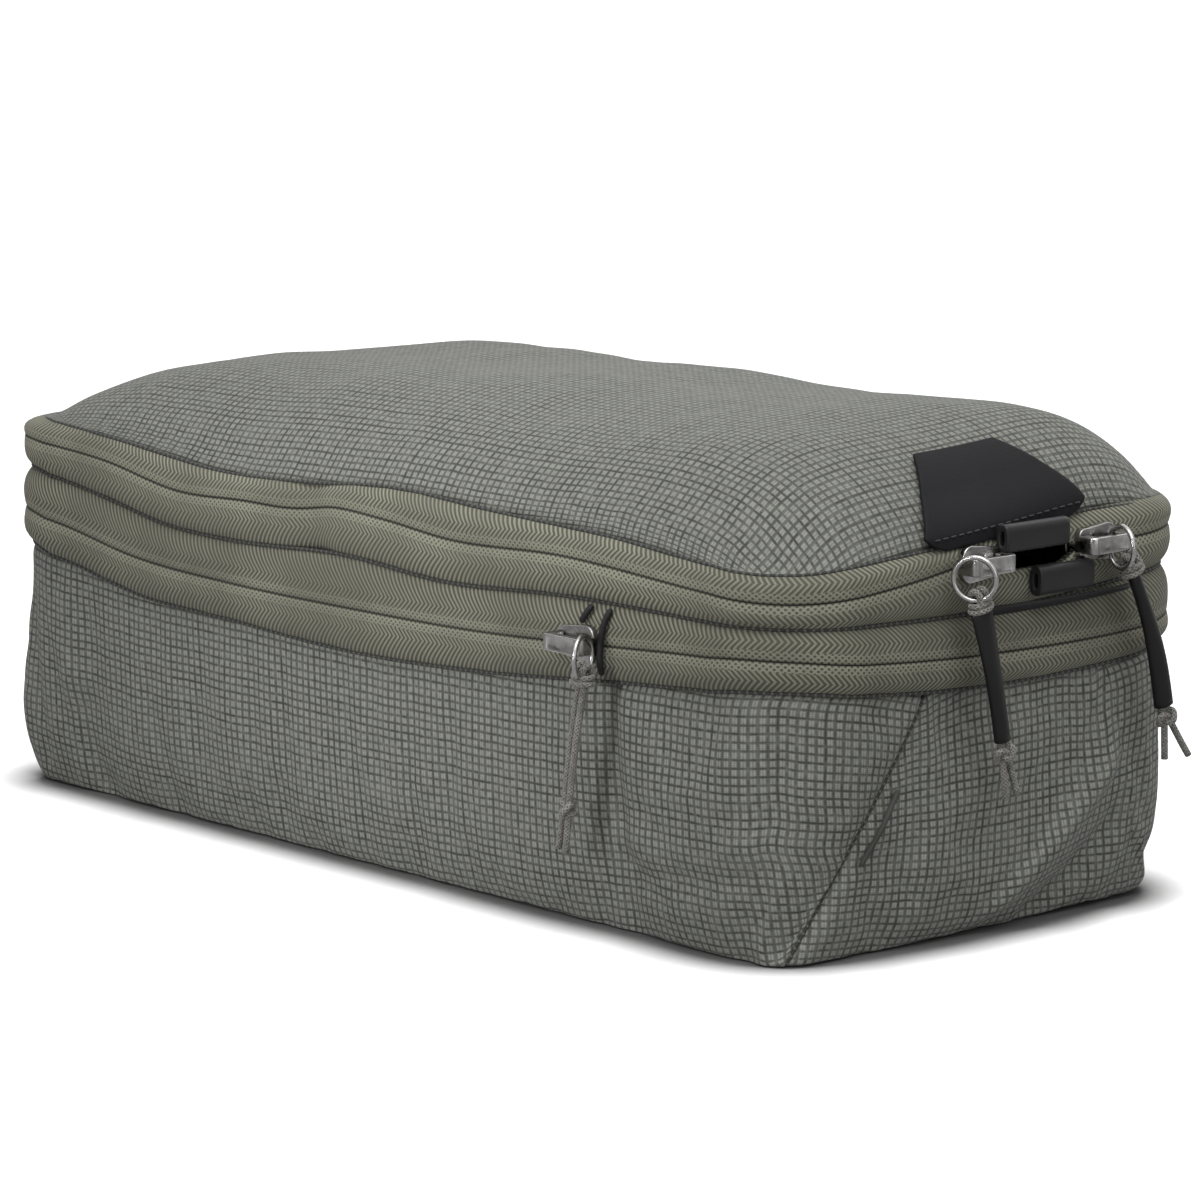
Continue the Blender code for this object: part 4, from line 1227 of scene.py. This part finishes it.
def make_patch(leather, thread):
    points, uvs = grid(np.linspace(0, 1, 36), np.linspace(-1, 1, 30), lambda up, across: (
        tuple(patch_point(across, up, PATCH_LIFT)), (across * 0.02, up * PATCH_LENGTH)))
    mesh = grid_mesh("patch", points, uvs)
    piece = new_piece("patch", mesh, leather, "lid", "black_leather", "leather_patch")
    thicken(piece, PATCH_THICKNESS)
    modify(piece, "BEVEL", width=0.0003, segments=2)

    stitches = []
    for across in np.linspace(-0.90, 0.90, 19):
        route = [patch_point(across + step * 0.030, STITCH_ROW, PATCH_LIFT + lift)
                 for step, lift in ((-1, 0.00012), (0, 0.00030), (1, 0.00012))]
        stitches.append(tube_mesh("stitch", route, 0.00022, 6))
    new_piece("patch_stitches", join_meshes("patch_stitches", stitches), thread, "lid", "black_leather")


# ---------------------------------------------------------------- tabs, handle and anchor cord
def make_tab(name, node, webbing, body, offset, width):
    """A strip of coated webbing folded into a hollow roll across the zip's opening."""
    low, high = (corner + Vector(offset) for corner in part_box(node))
    half_height = (high.z - low.z) / 2 + 0.0006
    half_depth = (high.x - low.x + 0.0008) / 2
    middle = (low + high) / 2
    middle.x = low.x + half_depth

    def rings(deep, tall):
        made = []
        for share in np.linspace(0, 1, 15):
            sag = 0.0002 * math.sin(share * math.pi)

            def on_tab(angle):
                sine, cosine = math.sin(angle), math.cos(angle)
                square = 1.0 / max(abs(cosine) ** 3 + abs(sine) ** 3, 0.1) ** (1 / 3)
                return (middle.x + (half_depth * cosine * square + sag) * deep,
                        middle.y + (share - 0.5) * width,
                        middle.z + half_height * sine * square * tall)

            made.append(loop_points(24, on_tab))
        return made

    mesh = loft_mesh(name, rings(1.0, 1.0) + rings(0.36, 0.55)[::-1], closed=True, wrap=0.018)
    soften_edges(new_piece(name, mesh, webbing, body, "black_webbing", node), 0.00025, segments=2, sharp=50)


def make_handle(strap):
    """A narrow strap that bows out from the middle seam on the near end."""
    low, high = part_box("end_handle")
    rings = []
    for share in np.linspace(0, 1, 33):
        y = low.y + 0.0075 + share * (high.y - low.y - 0.0085)
        x = low.x + (high.x - low.x - 0.0020) * math.sin(share * math.pi) ** 0.7
        z = (low.z + high.z) / 2 - 0.0015 + 0.0004 * math.sin(share * math.pi) - 0.0006 * (1 - share)
        tall = 0.0013 - 0.0006 * share
        rings.append([(x + across, y, z + rise * tall) for across, rise in (
            (0.0, -0.8), (0.0004, -1.0), (0.0010, -0.9), (0.0014, -0.5),
            (0.0014, 0.5), (0.0010, 0.9), (0.0004, 1.0), (0.0, 0.8))])
    new_piece("handle_strap", loft_mesh("handle_strap", rings, wrap=0.008), strap, "upper_frame",
              "black_webbing", "end_handle")


# Routes of the two black strands: along the front, out from it (both from the band's face) and up.
ANCHOR_SHIFT = -0.0032
ANCHOR_ROUTES = {
    "anchor_strand_long": ((0.1066, 0.0002, 0.0850), (0.1058, -0.0010, 0.0830), (0.1048, -0.0014, 0.0800),
                           (0.1042, -0.0015, 0.0770), (0.1038, -0.0014, 0.0740), (0.1036, -0.0014, 0.0712),
                           (0.1035, -0.0010, 0.0688), (0.1034, -0.0002, 0.0675)),
    "anchor_strand_short": ((0.0996, 0.0002, 0.0850), (0.0990, -0.0010, 0.0838), (0.0982, -0.0014, 0.0824),
                            (0.0973, -0.0014, 0.0812), (0.0966, -0.0014, 0.0804)),
}


def make_anchor(cord):
    """Two black strands at the closed end of the expansion zip."""
    for node, route in ANCHOR_ROUTES.items():
        path = [(x + ANCHOR_SHIFT, y - BAND_WIDTH / 2, z) for x, y, z in route]
        mesh = tube_mesh(node + "_cord", path, 0.0009)
        refine(new_piece(node + "_cord", mesh, cord, "upper_frame", "black_webbing", node))


# ---------------------------------------------------------------- sliders and rings
def seat_frame(name):
    """A matrix on a zip's line; X points outward, Y along the zip towards the bridge's foot."""
    out, along = Vector(PULLS[name]["out"]), Vector(PULLS[name]["foot"])
    turn = Matrix((out, along, out.cross(along))).transposed()
    bar = Vector(joint_places[name + "_ring_swing"]) + Vector(PULLS[name]["slider"])
    return Matrix.Translation(bar - out * BAR_DISTANCE) @ turn.to_4x4()


def rounded_plate(outline_points, low, high, plane):
    """A plate with an outline in one plane and a thickness along the third axis."""
    def build(shape):
        corners = [(low, a, b) if plane == "yz" else (a, b, low) for a, b in outline_points]
        face = shape.faces.new([shape.verts.new(corner) for corner in corners])
        grown = bmesh.ops.extrude_face_region(shape, geom=[face])["geom"]
        lift = Vector((high - low, 0, 0)) if plane == "yz" else Vector((0, 0, high - low))
        bmesh.ops.translate(shape, vec=lift, verts=[v for v in grown if isinstance(v, bmesh.types.BMVert)])
        bmesh.ops.recalc_face_normals(shape, faces=shape.faces)

    return reshape(bpy.data.meshes.new("plate"), build)


def arc(centre, radius, first, last):
    angles = np.radians(np.linspace(first, last, 6))
    return [(centre[0] + radius * math.cos(a), centre[1] + radius * math.sin(a)) for a in angles]


SHIELD = (arc((0.0050, 0.0018), 0.0020, 0, 90) + arc((-0.0035, 0.0017), 0.0030, 90, 180)
          + arc((-0.0035, -0.0017), 0.0030, 180, 270) + arc((0.0050, -0.0018), 0.0020, 270, 360))
WEB = [(-0.0030, -0.0002), (0.0055, -0.0002), (0.0055, 0.0002), (-0.0030, 0.0002)]
ARCH = ([(0.0019, -0.0074)] + arc((0.0058, -0.0056), 0.0018, 270, 360) + arc((0.0058, 0.0056), 0.0018, 0, 90)
        + [(0.0019, 0.0074), (0.0019, 0.0044), (0.0046, 0.0040), (0.0052, 0.0034), (0.0052, -0.0050),
           (0.0048, -0.0056), (0.0019, -0.0056)])


def make_slider(name, metal):
    """A slider: a shield-shaped top plate, a lower plate, a web between, and a bridge over it."""
    plates = join_meshes(name + "_slider_plates", [rounded_plate(SHIELD, 0.0004, 0.0020, "yz"),
                                                   rounded_plate(SHIELD, -0.0041, -0.0027, "yz"),
                                                   rounded_plate(WEB, -0.0028, 0.0005, "yz")])
    bridge = reshape(rounded_plate(ARCH, -0.0022, 0.0022, "xy"), frame_face)
    for part, mesh, edge, node in (("_slider_plates", plates, 0.0004, "_slider"),
                                   ("_slider_bridge", bridge, 0.00045, "_bridge")):
        mesh.transform(seat_frame(name))
        soften_edges(new_piece(name + part, mesh, metal, name + "_slider_body", "metal", name + node), edge)


def frame_face(shape):
    """Sink a panel into the outward face of a bridge, with a raised rim round it."""
    face = max(shape.faces, key=lambda each: each.calc_center_median().x * (each.calc_area() > 0.00002))
    bmesh.ops.inset_region(shape, faces=[face], thickness=0.0006, depth=0.0)
    bmesh.ops.translate(shape, vec=(-0.00022, 0, 0), verts=face.verts)


def make_ring(name, metal):
    """The smooth wire ring; it hangs in an upright plane turned a little about the vertical."""
    low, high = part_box(name + "_ring")
    centre = (low + high) / 2 + Vector(PULLS[name]["ring"])
    flat = Matrix.Rotation(math.radians(PULLS[name]["ring_turn"]), 3, "Z") @ Vector(PULLS[name]["out"])
    up = Vector((0, 0, 1))
    radius = (high.z - low.z) / 2 - 0.0007
    path = loop_points(48, lambda angle: centre + (flat * math.cos(angle) + up * math.sin(angle)) * radius)
    mesh = tube_mesh(name + "_wire_ring", path, 0.00068, 12, closed=True)
    new_piece(name + "_wire_ring", mesh, metal, name + "_ring_body", "metal", name + "_ring")


# ---------------------------------------------------------------- build everything
make_stage()

fabric = ripstop("ripstop")
lining = plain("lining", (0.105, 0.108, 0.098), 0.6, 600.0, 0.00006)
tape = twill("zip_tape")
# A darker copy of the zip tape: painted shade for the compression zip's tapes, which lie under the bulging
# bands.
painted_shade_tape = twill("zip_tape_shaded", 0.84)
coil = coil_nylon("zip_coil")
seam = stitched_seam("seam_binding")
# Dark fabric for the pleat strands, painted shadow in the folds beside the near seams.
pleat = plain("pleat_painted_shadow", (0.040, 0.042, 0.038), 0.8, 500.0, 0.0002, patches=0.35)
leather = plain("black_leather", (0.0085, 0.0085, 0.0098), 0.66, 1400.0, 0.00012, shine=0.12)
webbing = plain("black_webbing", (0.0090, 0.0090, 0.0098), 0.42, 1600.0, 0.00005, sheen=0.03)
rubber = plain("black_sleeve", (0.0075, 0.0075, 0.0082), 0.46, 900.0, 0.00005, shine=0.22)
strap = plain("black_strap", (0.0050, 0.0050, 0.0055), 0.60, 1600.0, 0.00005, shine=0.2)
thread = plain("black_thread", (0.030, 0.030, 0.032), 0.55, 900.0, 0.00006)
cord_finish = braid("pull_cord", (0.19, 0.185, 0.165))
black_cord = plain("black_cord", (0.008, 0.008, 0.009), 0.6, 1800.0, 0.0001)
metal = nickel("antique_nickel")

for pull in PULLS:
    make_pull_cord(pull, cord_finish, rubber)

make_lower_case(fabric, lining, seam, pleat)
make_piping("lower_seam_piping", "lower", seam, "lower_body", "body_seam_binding")
make_zip_half("compression", "lower", "low", 6, painted_shade_tape, coil, "lower_body")
make_gusset(fabric)
make_zip_half("compression", "middle", "high", 6, painted_shade_tape, coil, "upper_frame")
make_piping("middle_seam_piping", "middle", seam, "upper_frame", "middle_seam_binding")
make_zip_half("main", "middle", "low", ZIP_END, tape, coil, "upper_frame")
make_zip_half("main", "lid", "high", ZIP_END, tape, coil, "lid")
make_piping("lid_seam_piping", "lid", seam, "lid", "lid_seam_binding")
make_hinge(fabric)

make_lid(fabric, lining)
make_patch(leather, thread)
make_tab("upper_tab", "grab_tab_upper", webbing, "lid", (0.0004, 0.0018, 0.0016), 0.0225)
make_tab("lower_tab", "grab_tab_lower", webbing, "upper_frame", (0.0006, 0.0055, -0.0008), 0.0195)
make_handle(strap)
make_anchor(black_cord)
for pull in PULLS:
    make_slider(pull, metal)
    make_ring(pull, metal)
